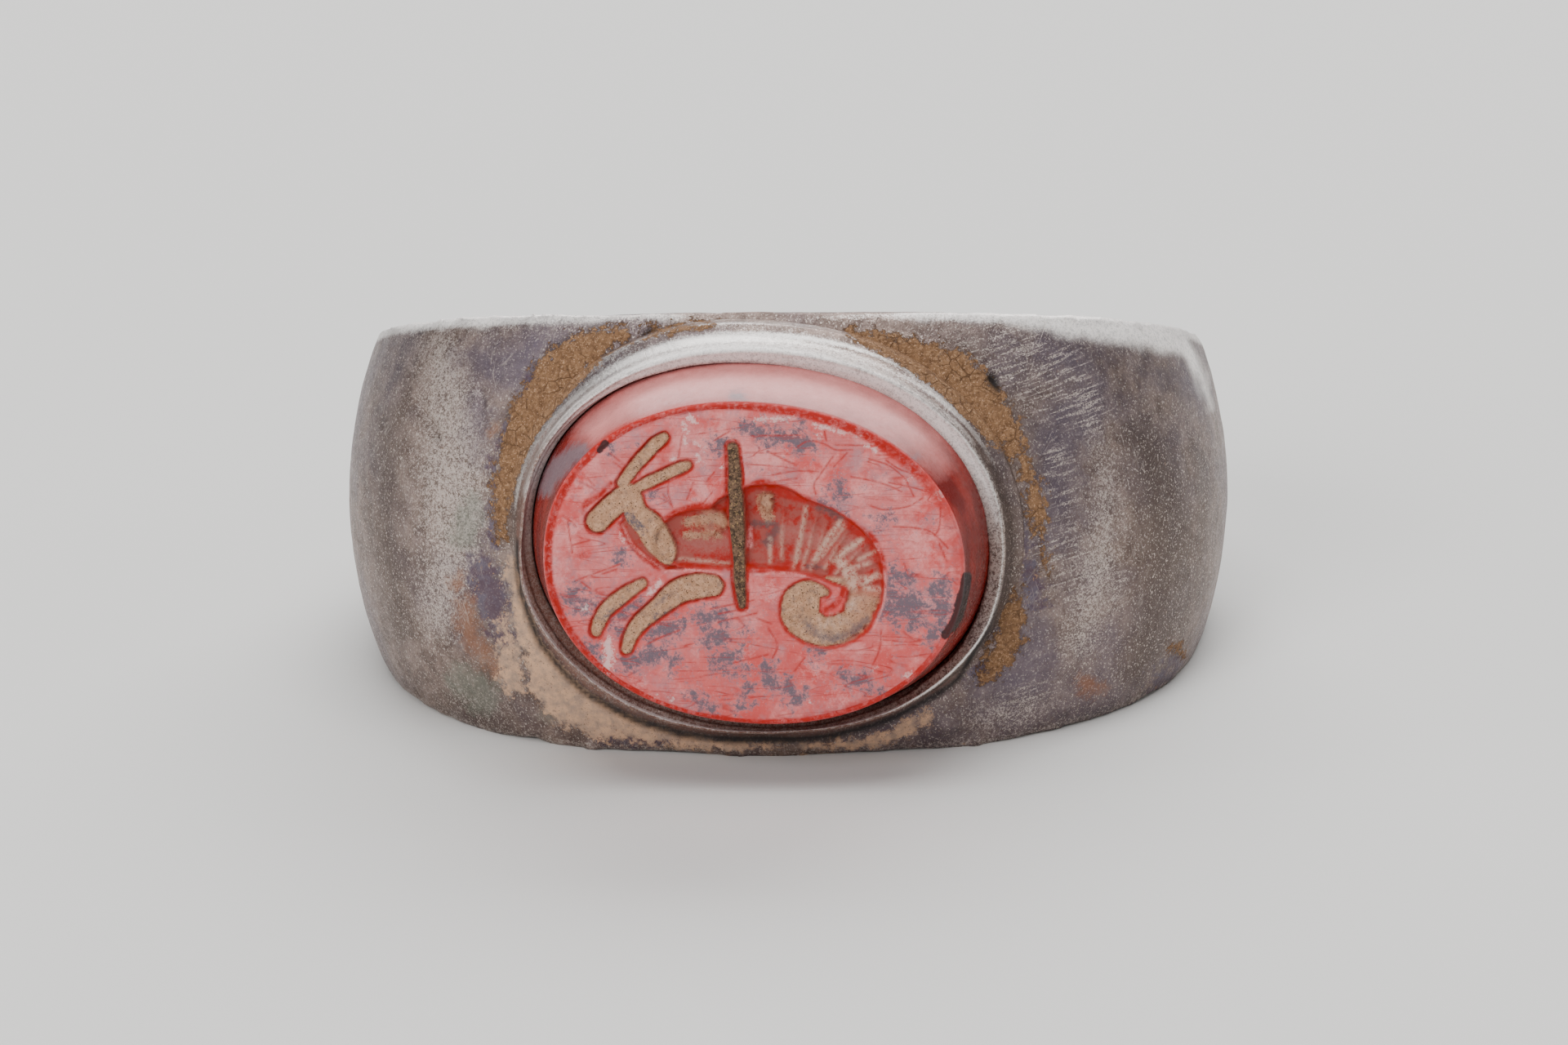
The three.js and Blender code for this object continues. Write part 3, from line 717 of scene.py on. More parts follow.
def table_finish():
    """The table is worn to a pink haze, which scratches, chips and stains break."""
    f = Finish("worn_red_jasper")
    grit = f.noise(14, 3, 0.75)
    ragged = f.less(f.noise(3.4, 5, 0.78, turn=(0.4, 2.2, 1.0)), 0.5)
    fleck = f.less(f.noise(8.5, 4, 0.8, turn=(1.3, 0.2, 2.0)), 0.5)
    tint = f.mix(f.between(f.noise(0.8, 4, 0.62), 0.38, 0.54), HAZE_ROSE, HAZE_PINK)
    tint = f.mix(f.between(f.noise(1.7, 4, 0.66, turn=(3, 1, 2)), 0.46, 0.68, 0, 0.7), tint, HAZE_PALE)
    tint = f.mix(f.between(f.noise(1.3, 4, 0.7, turn=(0.5, 0.2, 2.5)), 0.50, 0.66, 0, 0.65), tint, HAZE_LILAC)
    low = f.between(f.noise(1.0, 4, 0.7, turn=(1, 3, 3)), 0.42, 0.54, 0, 0.7)
    tint = f.mix(f.times(f.value("low_side"), low), tint, HAZE_ROSE)
    tint = f.mix(f.patch("pale", f.times(ragged, 2.4), 0.35, 0.85, 0.75), tint, HAZE_PALE)
    slate = f.plus(f.value("slate"), f.plus(f.times(ragged, 2.6), f.times(fleck, 1.6)))
    tint = f.mix(f.between(slate, 0.20, 0.50, 0, 0.65), tint, HAZE_LILAC)
    tint = f.mix(f.between(slate, 0.40, 0.70, 0, 0.9), tint, HAZE_SLATE)
    tint = f.mix(f.between(grit, 0.55, 0.72, 0, 0.45), tint, HAZE_ROSE)
    tint = f.mix(f.between(grit, 0.42, 0.3, 0, 0.4), tint, HAZE_PALE)

    # Long fine scratches break the haze and show the clean red under it.
    scratch = f.hairs(*HAIRS[0])
    for hair in HAIRS[1:]:
        scratch = f.most(scratch, f.hairs(*hair))
    scratch = f.times(scratch, f.between(f.noise(3.0, 4, 0.7, turn=(2, 0.3, 1)), 0.4, 0.6, 0.25, 0.9))
    drawn = f.times(f.value("drawn_scratch"), f.between(f.noise(6.0, 3, 0.7), 0.30, 0.52, 0.25, 1.0))
    scratch = f.most(scratch, drawn)
    tint = f.mix(f.times(scratch, 0.85), tint, RAW_RED)
    tint = f.mix(f.between(f.noise(5.5, 5, 0.8, turn=(0, 2, 1), swirl=1.2), 0.62, 0.7, 0, 0.4), tint, RAW_RED)
    spots = f.node("ShaderNodeTexVoronoi", f.here)
    spots.inputs["Scale"].default_value = 7.5
    chips = f.between(spots.outputs["Distance"], 0.09, 0.05)
    chips = f.times(chips, f.between(f.noise(3.0, 2, turn=(2, 2, 0)), 0.54, 0.6, 0, 0.7))
    # Chalk and chips, and painted highlights along the chest and beside the staff, in near white.
    chalk_and_highlight = f.patch("chalk_and_highlight", f.times(fleck, 3.0), 0.40, 0.85, 0.75)
    chalk_and_highlight = f.times(chalk_and_highlight, f.between(f.value("chalk_and_highlight"), 0.02, 0.2))
    tint = f.mix(f.most(chips, chalk_and_highlight), tint, CHALK_AND_HIGHLIGHT_WHITE)

    hollow = f.mix(f.between(f.noise(3.5, 4, 0.65), 0.45, 0.62), HOLLOW_RED, RAW_RED)
    hollow = f.mix(f.patch("body_blush", f.times(fleck, 1.6), 0.3, 0.9, 0.8), hollow, HOLLOW_BLUSH)
    hollow = f.mix(f.patch("body_shade", f.times(fleck, 2.0), 0.4, 0.9, 0.75), hollow, HOLLOW_SHADE)
    tint = f.mix(f.value("hollow"), tint, hollow)
    edge = f.times(f.value("cut_edge"), f.between(f.noise(4, 3, 0.6), 0.35, 0.55, 0.35, 1.0))
    tint = f.mix(edge, tint, RAW_RED)
    tint = f.mix(f.times(f.value("glint"), f.between(fleck, -0.1, 0.05, 0.2, 0.9)), tint, HAZE_PALE)
    rim = f.times(f.value("rim"), f.between(f.noise(6, 4, 0.7), 0.34, 0.54, 0.35, 1.0))
    tint = f.mix(rim, tint, RIM_RED)

    packed = f.mix(f.between(f.noise(7, 4, 0.7), 0.42, 0.66), SAND, SAND_PALE)
    packed = f.mix(f.between(f.noise(3.1, 4, 0.7, turn=(4, 0, 1)), 0.53, 0.66, 0, 0.8), packed, SAND_GREY)
    packed = f.mix(f.between(f.noise(24, 2, 0.6), 0.6, 0.66), packed, SAND_SPECK)
    packed = f.mix(f.patch("slate", f.times(fleck, 2), 0.5, 0.8, 0.8), packed, HAZE_SLATE)
    packed = f.mix(f.patch("body_shade", f.times(fleck, 2.0), 0.4, 0.9, 0.6), packed, HAZE_SLATE)
    sandy = f.most(f.value("sand"), f.patch("body_sand", f.times(fleck, 2.0), 0.35, 0.7, 0.8))
    tint = f.mix(f.times(sandy, f.between(f.noise(20, 2), 0.2, 0.4, 0.6, 1.0)), tint, packed)
    crust = f.most(f.times(f.value("crust"), 0.4), f.times(f.value("tail_crust"), 0.9))
    tint = f.mix(f.times(crust, f.between(f.noise(9, 4, 0.75), 0.36, 0.52)), tint, CRUST)
    dark = f.mix(f.between(f.noise(9, 4, 0.75), 0.42, 0.6), EARTH_DARK, EARTH)
    dark = f.mix(f.between(f.noise(17, 3, 0.7, turn=(1, 1, 1)), 0.57, 0.66), dark, EARTH_PALE)
    tint = f.mix(f.value("earth"), tint, dark)
    tint = f.mix(f.patch("flaw", f.times(ragged, 0.9), 0.4, 0.6, 0.9), tint, INCLUSION)

    grain = f.most(f.value("sand"), f.value("earth"))
    gloss = f.between(f.noise(5, 4, 0.7), 0.35, 0.7, 0.42, 0.58)
    relief = f.plus(f.times(scratch, -0.8), f.times(grit, 0.5))
    relief = f.plus(relief, f.times(f.times(f.noise(16, 3, 0.7), grain), 4))
    f.shade(
        Base_Color=tint,
        Roughness=f.most(gloss, f.times(grain, 0.9)),
        Specular_IOR_Level=JASPER_SPECULAR,
        Normal=f.bump(relief, 0.012 * MM, 0.7),
    )
    return f.material


def bevel_finish():
    """The bevel keeps its polish: deep red, with a painted pale sheen along its upper side where it reflects
    the overhead light, and a few dark inclusions.
    """
    f = Finish("polished_red_jasper")
    ragged = f.less(f.noise(2.2, 5, 0.7, turn=(0.4, 2.2, 1.0), stretch=(1, 1, 0.7)), 0.5)
    veins = f.noise(1.3, 4, 0.6, stretch=(1, 1, 0.5))
    tint = f.mix(f.between(veins, 0.44, 0.62), BEVEL_RED, BEVEL_WARM)
    # Painted sheen: the upper bevel's reflection of the overhead light, in pale pink.
    tint = f.mix(f.patch("bevel_sheen", f.times(ragged, 0.5), 0.15, 0.85), tint, BEVEL_SHEEN_PINK)
    tint = f.mix(f.patch("cloud", f.times(ragged, 1.3), 0.35, 0.7, 0.8), tint, BEVEL_CLOUD)
    tint = f.mix(f.value("rim"), tint, RIM_RED)
    tint = f.mix(f.patch("flaw", f.times(ragged, 0.9), 0.4, 0.6, 0.95), tint, INCLUSION)
    f.shade(
        Base_Color=tint,
        Roughness=f.between(f.noise(5, 4, 0.7), 0.35, 0.7, 0.22, 0.36),
        Specular_IOR_Level=JASPER_SPECULAR,
        Normal=f.bump(f.noise(9, 3, 0.7), 0.004 * MM, 0.5),
    )
    return f.material


jasper = table_blank()
polished = [face.center.z < (STONE_THICKNESS - POLISH_STARTS_BELOW) * MM for face in jasper.data.polygons]
engrave(jasper)
for face, on_bevel in zip(jasper.data.polygons, polished):
    face.use_smooth = True
    face.material_index = int(on_bevel)
jasper.data.materials.append(table_finish())
jasper.data.materials.append(bevel_finish())
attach(jasper, "root")
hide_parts("jasper_intaglio")

# The silver hoop
# A heavy cast band, domed outside and plain inside, filed flat on both edges and thinner towards its back.
# It came out of the ground worn, scratched and tarnished, and the soil still clings beside the bezel.

RING_HALF_WIDTH = 12.0
FINGER_HOLE_HALF = (9.9, 8.3)
FRONT_REACH = 10.05
BACK_REACH = 9.65
SHOULDER_SQUARENESS = 2.44
DOME_HALF_HEIGHT = 12.05
EDGE_HALF_WIDTH = 6.03
FILED_EDGES = ((1, math.radians(11.6)), (-1, math.radians(12.3)))
BALL_SEGMENTS, BALL_RINGS = 256, 160
BORE_LENGTH, BORE_SIDES = 40, 256
POCKET_DEPTH, POCKET_SIDES = 6, 160
SEAT_GAP = 0.12
HOOP_VOXEL, HOOP_RUBBING = 0.13, 5


def apply_modifiers(piece):
    bpy.context.view_layer.objects.active = piece
    for modifier in list(piece.modifiers):
        bpy.ops.object.modifier_apply(modifier=modifier.name)


def cut_away(piece, tool):
    """Takes a tool's shape out of a piece, and the tool with it."""
    boolean = piece.modifiers.new("cut", "BOOLEAN")
    boolean.operation = "DIFFERENCE"
    boolean.solver = "EXACT"
    boolean.object = tool
    apply_modifiers(piece)
    bpy.data.objects.remove(tool)


def smooth_over(piece, rounds):
    """Rubs down a piece's corners, and applies that with its other modifiers."""
    soften = piece.modifiers.new("wear", "SMOOTH")
    soften.factor = 0.5
    soften.iterations = rounds
    apply_modifiers(piece)


def oval_tool(half_width, half_height, length, sides):
    """A cylinder drawn out to an oval, to cut with."""
    bpy.ops.mesh.primitive_cylinder_add(vertices=sides, radius=1, depth=length * MM)
    tool = bpy.context.object
    tool.scale = (half_width * MM, half_height * MM, 1)
    bpy.ops.object.transform_apply(location=False, rotation=False, scale=True)
    return tool


def hoop_blank():
    """The band, from a sphere drawn out to the ring's egg shape, filed off above and below, and bored."""
    bpy.ops.object.select_all(action="DESELECT")
    bpy.ops.mesh.primitive_uv_sphere_add(segments=BALL_SEGMENTS, ring_count=BALL_RINGS, radius=1)
    hoop = bpy.context.object
    hoop.name = "silver_band"
    ball = vertex_places(hoop)
    level = np.hypot(ball[:, 0], ball[:, 1])
    safe = np.maximum(level, 1e-9)
    side, ahead = ball[:, 0] / safe, -ball[:, 1] / safe
    squareness = np.where(ahead > 0, SHOULDER_SQUARENESS, 2)
    reach = np.where(ahead > 0, FRONT_REACH, BACK_REACH)
    set_vertex_places(hoop, MM * np.column_stack([
        squared(side, squareness) * level * RING_HALF_WIDTH,
        -squared(ahead, squareness) * level * reach,
        ball[:, 2] * DOME_HALF_HEIGHT,
    ]))
    bpy.ops.object.mode_set(mode="EDIT")
    for side, taper in FILED_EDGES:
        bpy.ops.mesh.select_all(action="SELECT")
        bpy.ops.mesh.bisect(
            plane_co=(0, -STONE_BASE_AHEAD * MM, side * EDGE_HALF_WIDTH * MM),
            plane_no=(0, math.sin(taper), side * math.cos(taper)),
            use_fill=True,
            clear_outer=True,
        )
    bpy.ops.object.mode_set(mode="OBJECT")
    cut_away(hoop, oval_tool(*FINGER_HOLE_HALF, BORE_LENGTH, BORE_SIDES))
    pocket = oval_tool(GIRDLE_HALF[0] + SEAT_GAP, GIRDLE_HALF[1] + SEAT_GAP, POCKET_DEPTH, POCKET_SIDES)
    pocket.data.transform(
        ring_frame.inverted() @ bezel_frame @ Matrix.Rotation(OVAL_TURN, 4, "Z")
        @ Matrix.Translation((0, 0, (POCKET_DEPTH / 2 - SEAT_GAP) * MM))
    )
    cut_away(hoop, pocket)
    skin = hoop.modifiers.new("skin", "REMESH")
    skin.mode = "VOXEL"
    skin.voxel_size = HOOP_VOXEL * MM
    smooth_over(hoop, HOOP_RUBBING)
    return hoop


# What clings to the silver or wears it, as strokes of [across, down, half width] in the photograph's pixels.
# Some of them are painted light and shade, as said beside each.
SOIL = [
    [(613, 655, 7), (616, 610, 13), (632, 552, 20), (650, 510, 25), (676, 470, 28), (704, 440, 26),
     (735, 420, 17), (768, 411, 9)],
    [(785, 409, 5), (836, 402, 5), (872, 398, 4)],
    [(1045, 410, 8), (1100, 428, 17), (1150, 452, 29), (1190, 487, 34), (1222, 522, 23), (1246, 552, 12)],
    [(1250, 560, 7), (1262, 590, 8), (1268, 622, 13), (1274, 650, 6), (1282, 702, 3)],
    [(1245, 728, 8), (1236, 770, 19), (1222, 805, 17), (1200, 830, 7)], [(1438, 790, 7), (1447, 801, 4)],
]
SAND_FILM = [
    [(626, 690, 7), (638, 742, 13), (660, 790, 21), (688, 838, 37), (735, 870, 33), (795, 895, 17),
     (850, 908, 10), (930, 916, 9), (1010, 914, 9), (1080, 906, 8), (1130, 880, 9)],
    [(618, 762, 7), (622, 800, 11), (630, 836, 14)],
]
PURPLE = [
    [(588, 690, 15), (600, 730, 20), (616, 775, 14)],
    [(660, 452, 5), (633, 500, 6), (607, 560, 7), (603, 610, 6), (602, 665, 6)],
    [(735, 897, 9), (790, 906, 9), (835, 908, 5)], [(1255, 650, 5), (1262, 700, 11), (1270, 735, 12)],
    [(1190, 826, 11), (1205, 822, 8)], [(1440, 812, 9), (1425, 832, 11), (1412, 846, 7)],
]
VIOLET_HAZE = [
    [(580, 440, 24), (620, 450, 30), (655, 420, 22)], [(590, 500, 20), (585, 560, 14)],
    [(1290, 430, 16), (1340, 470, 30), (1300, 540, 34), (1290, 600, 30), (1290, 660, 26)],
    [(1400, 455, 14), (1440, 465, 18), (1478, 480, 14)],
    [(1260, 760, 30), (1250, 820, 34), (1200, 850, 20)],
]
RUST = [
    [(568, 740, 14), (578, 785, 16), (610, 820, 10)], [(604, 524, 6), (600, 534, 4)],
    [(1330, 838, 12), (1345, 845, 8)], [(560, 715, 14)],
]
TEAL = [
    [(578, 618, 16), (568, 655, 20)], [(671, 877, 10)], [(590, 850, 26), (560, 830, 18)],
]
# Painted highlights on the lit middles of the shoulders and along the top rims, laid over rubbed wear.
LIT_AND_RUBBED = [
    [(540, 430, 28), (552, 520, 42), (556, 600, 46), (552, 680, 34), (535, 760, 24)],
    [(1320, 490, 8), (1350, 560, 10), (1352, 640, 18), (1340, 720, 22), (1320, 790, 12)],
    [(1230, 397, 8), (1320, 402, 10), (1420, 415, 12)], [(484, 400, 6), (640, 394, 5), (780, 390, 5)],
    [(1200, 880, 12), (1260, 868, 14)], [(560, 850, 12), (600, 870, 10)],
]
# Painted highlight along the band's top edge, where it faces the overhead light.
TOP_EDGE_HIGHLIGHT = [
    [(1100, 384, 3), (1230, 391, 8), (1330, 402, 13), (1420, 414, 15), (1446, 424, 12), (1466, 448, 7),
     (1484, 500, 4)],
    [(430, 412, 4), (480, 397, 5), (560, 394, 4), (700, 390, 3), (840, 385, 3)],
]
SHADED = [
    [(1400, 540, 20), (1425, 600, 30), (1432, 680, 36), (1420, 760, 34), (1390, 820, 20)],
    [(1470, 560, 10), (1474, 640, 12), (1462, 730, 12)],
    [(474, 520, 12), (470, 620, 14), (478, 700, 18), (494, 770, 16)], [(518, 690, 7), (508, 722, 6)],
    [(560, 860, 14), (620, 890, 12)],
]
# Painted shadow: the dark line under the collar's overhanging crest, whose outer wall there is turned away
# from the light.
CREST_SHADOW_LINE = [
    [(633, 663, 2.5), (634, 694, 3), (639, 725, 3.5), (649, 755, 4), (661, 784, 4), (680, 809, 4.2),
     (697, 829, 4.4), (718, 848, 4.6), (747, 865, 5), (776, 880, 5), (809, 891, 5), (836, 899, 5),
     (872, 903, 5), (904, 905, 5.2), (946, 905, 5.2), (970, 905, 5), (1009, 902, 4.6), (1049, 894, 4.2),
     (1088, 881, 3.8), (1118, 866, 3.6), (1147, 850, 3.5), (1173, 831, 3.5), (1191, 800, 4),
     (1207, 772, 4.2), (1217, 746, 3.5), (1223, 715, 2)],
]
STONE_PIXEL = (930, 672)
FOOT_SHADOW_IN = 0.028
FOOT_SHADOW_HALF = 4.5
FOOT_SHADOW = [[
    (x + (STONE_PIXEL[0] - x) * FOOT_SHADOW_IN, y + (STONE_PIXEL[1] - y) * FOOT_SHADOW_IN, FOOT_SHADOW_HALF)
    for x, y, _ in CREST_SHADOW_LINE[0]
]]
FILED = [
    [(1190, 415, 24), (1240, 440, 40), (1290, 470, 44), (1330, 500, 30)],
    [(1290, 560, 20), (1300, 610, 20)], [(1300, 670, 34), (1340, 720, 40)], [(1320, 780, 24)],
    [(1230, 860, 14), (1280, 850, 16)],
]
PITS = [
    [(795, 411, 7), (797, 411, 6)], [(1215, 464, 7), (1221, 474, 5)],
]
GOUGES = [
    [(511, 495, 4), (524, 515, 6), (537, 536, 3)], [(588, 470, 2), (590, 500, 3)],
]
LUMPS = [
    [(1194, 911, 8), (1196, 912, 6)], [(893, 919, 9), (905, 920, 8)], [(1160, 890, 9), (1168, 886, 8)],
    [(1240, 850, 7)], [(1300, 868, 8)], [(725, 918, 9)],
]
# The casting's unevenness, as how high, how wide and a seed, and what else lifts or dents it, in millimetres.
UNEVENNESS = [(0.030, 3.1, 41), (0.012, 1.1, 42), (0.008, 0.5, 43), (0.005, 0.28, 44)]
SOIL_THICKNESS, CRUMB_HEIGHT, FILM_THICKNESS = 0.035, 0.05, 0.02
PIT_DEPTH, GOUGE_DEPTH, LUMP_HEIGHT = 0.16, 0.12, 0.09
LIFT_LIMITS = (-0.2, 0.1)
# How strongly the sides that the photograph doesn't show are dirtied, as a guess.
HIDDEN_SOIL, HIDDEN_TARNISH, INNER_FILM = 0.54, 0.65, 0.56



def vertex_normals(piece):
    normals = np.empty(len(piece.data.vertices) * 3, np.float32)
    piece.data.vertex_normals.foreach_get("vector", normals)
    return normals.reshape(-1, 3).astype(float)


def keep_surface_map(piece, around, up):
    """Keeps for each vertex how far round the piece and how high up it is, in millimetres."""
    layer = piece.data.attributes.new("surface", "FLOAT_VECTOR", "POINT")
    values = np.column_stack([around, up, np.zeros(len(up))])
    layer.data.foreach_set("vector", values.astype(np.float32).ravel())


def age_hoop(piece):
    """Gives the band its uneven wear, its dents, and the soil that stands on it, and lays it on its edge."""
    local = vertex_places(piece) / MM
    normals = vertex_normals(piece)
    pixels = photo_pixels(in_row_frame(local, ring_frame))
    to_camera = normals @ np.array(ring_frame)[:3, :3].T @ np.array(camera_back)
    outer = ramp(np.hypot(local[:, 0] / FINGER_HOLE_HALF[0], local[:, 1] / FINGER_HOLE_HALF[1]), 1.04, 1.08)
    facing = ramp(to_camera, 0.02, 0.2) * outer
    hidden = 1 - ramp(to_camera, -0.1, 0.2)

    def seen(strokes, soft):
        return strokes_near(pixels, strokes, soft) * facing

    def guessed(size, seed, low, high):
        """Patches where the photograph doesn't reach."""
        return ramp(layered_noise(local, size, seed), low, high)

    pits = seen(PITS, 3)
    foot_shadow = seen(FOOT_SHADOW, 2.5)
    soil = np.maximum(seen(SOIL, 16), HIDDEN_SOIL * hidden * guessed(4.5, 21, 0.25, 0.6))
    inner_film = INNER_FILM * (1 - outer) * guessed(5, 25, -0.1, 0.5)
    film = np.maximum(seen(SAND_FILM, 16), inner_film) * (1 - foot_shadow)
    purple = np.maximum(seen(PURPLE, 18), HIDDEN_TARNISH * hidden * guessed(3.6, 31, 0.15, 0.5))
    worn_edge = np.zeros(len(local))
    for side, taper in FILED_EDGES:
        below = (
            side * math.cos(taper) * (local[:, 2] - side * EDGE_HALF_WIDTH)
            + math.sin(taper) * (local[:, 1] + STONE_BASE_AHEAD)
        )
        worn_edge = np.maximum(worn_edge, ramp(below, -0.42, -0.08) * ramp(outer, 0.2, 0.9))

    lift = sum(height * lattice_noise(local, size, seed) for height, size, seed in UNEVENNESS)
    lift += worn_edge * (0.02 * lattice_noise(local, 0.9, 45) - 0.012)
    crumbs = 0.5 + 0.5 * lattice_noise(local, 0.45, 46)
    lift += ramp(soil, 0.35, 0.7) * (SOIL_THICKNESS + CRUMB_HEIGHT * crumbs)
    lift += ramp(film, 0.4, 0.8) * FILM_THICKNESS
    lift -= PIT_DEPTH * pits
    lift -= GOUGE_DEPTH * ramp(seen(GOUGES, 5), 0.2, 1)
    lift += LUMP_HEIGHT * ramp(strokes_near(pixels, LUMPS, 6) * ramp(facing, 0, 0.2), 0.2, 0.9)
    lower_front = ramp(-local[:, 2], 4.2, 5.4) * ramp(-local[:, 1], 4, 8) * outer
    lift += lower_front * 0.04 * lattice_noise(local, 0.6, 47)
    lift = np.clip(lift, *LIFT_LIMITS)
    moved = in_row_frame(local + normals * lift[:, None], ring_frame)
    moved[:, 2] = np.maximum(moved[:, 2], 0)
    set_vertex_places(piece, moved)

    keep_surface_map(piece, np.arctan2(local[:, 0], -local[:, 1]) * RING_HALF_WIDTH, local[:, 2])
    paint(piece, "soil", soil)
    paint(piece, "film", film)
    paint(piece, "purple", purple)
    # Painted shadow just inside the dark line, where the collar's foot overhangs the band.
    paint(piece, "bronze_and_shadow", foot_shadow)
    for name, strokes, soft in (
        ("violet_haze", VIOLET_HAZE, 22), ("rust", RUST, 14), ("teal", TEAL, 14), ("filed", FILED, 20)
    ):
        paint(piece, name, seen(strokes, soft))
    # Painted highlights on the lit shoulders and rims, with the wear of the filed edges.
    paint(piece, "lit_and_rubbed", np.maximum(seen(LIT_AND_RUBBED, 24), 0.75 * worn_edge))
    paint(piece, "shaded", np.maximum(seen(SHADED, 18), 0.5 * hidden))
    # Painted shadow under the collar's crest and in the pits.
    paint(piece, "crevice_shadow", np.maximum(seen(CREST_SHADOW_LINE, 3), pits))
    # Bright worn silver on the top filed edge, more towards the sides, also a painted highlight where that
    # edge faces the light.
    to_the_sides = 0.6 + 0.4 * ramp(np.abs(local[:, 0]), 3, 7)
    paint(piece, "worn_bright_and_highlight", 0.75 * worn_edge * ramp(local[:, 2], 0, 2) * to_the_sides)
    # Painted highlight along the top edge, in near white with a ragged border, in the lip's colour.
    edge_highlight = seen(TOP_EDGE_HIGHLIGHT, 12)
    ragged = edge_highlight + 0.35 * layered_noise(local, 0.8, 48)
    paint(piece, "lip", ramp(ragged, 0.2, 0.9) * ramp(edge_highlight, 0, 0.15))


SILVER = (0.315, 0.236, 0.204, 1)
SILVER_DARK = (0.145, 0.104, 0.090, 1)
SILVER_DEEP = (0.088, 0.064, 0.054, 1)
SILVER_BRIGHT = (0.62, 0.530, 0.475, 1)
# Clean worn silver, also used for painted highlights on the upper edges.
CLEAN_SILVER_AND_HIGHLIGHT = (0.84, 0.800, 0.770, 1)
TARNISH_PURPLE = (0.100, 0.062, 0.088, 1)
TARNISH_BLUE = (0.125, 0.105, 0.145, 1)
TARNISH_RUST = (0.30, 0.125, 0.060, 1)
TARNISH_TEAL = (0.22, 0.250, 0.200, 1)
# Brown tint of the collar's low side, also used for painted shadow at its foot.
BRONZE_AND_SHADOW_TINT = (0.200, 0.090, 0.066, 1)
# The lip's burnished near white and its dimmer mottle, which also serve as painted highlight.
BURNISH_AND_HIGHLIGHT_GREY = (0.97, 0.915, 0.880, 1)
BURNISH_AND_HIGHLIGHT_DIM = (0.56, 0.530, 0.510, 1)
SOIL_TAN = (0.30, 0.160, 0.078, 1)
SOIL_DARK = (0.135, 0.066, 0.030, 1)
SOIL_GOLD = (0.42, 0.240, 0.125, 1)
FILM_SAND = (0.70, 0.430, 0.270, 1)
FILM_GREY = (0.42, 0.290, 0.215, 1)
# Near black of the painted shadow under the collar's crest, in the pits and at the stone's edge.
SHADOW_BLACK = (0.012, 0.011, 0.011, 1)
SILVER_SPECULAR = 0.3


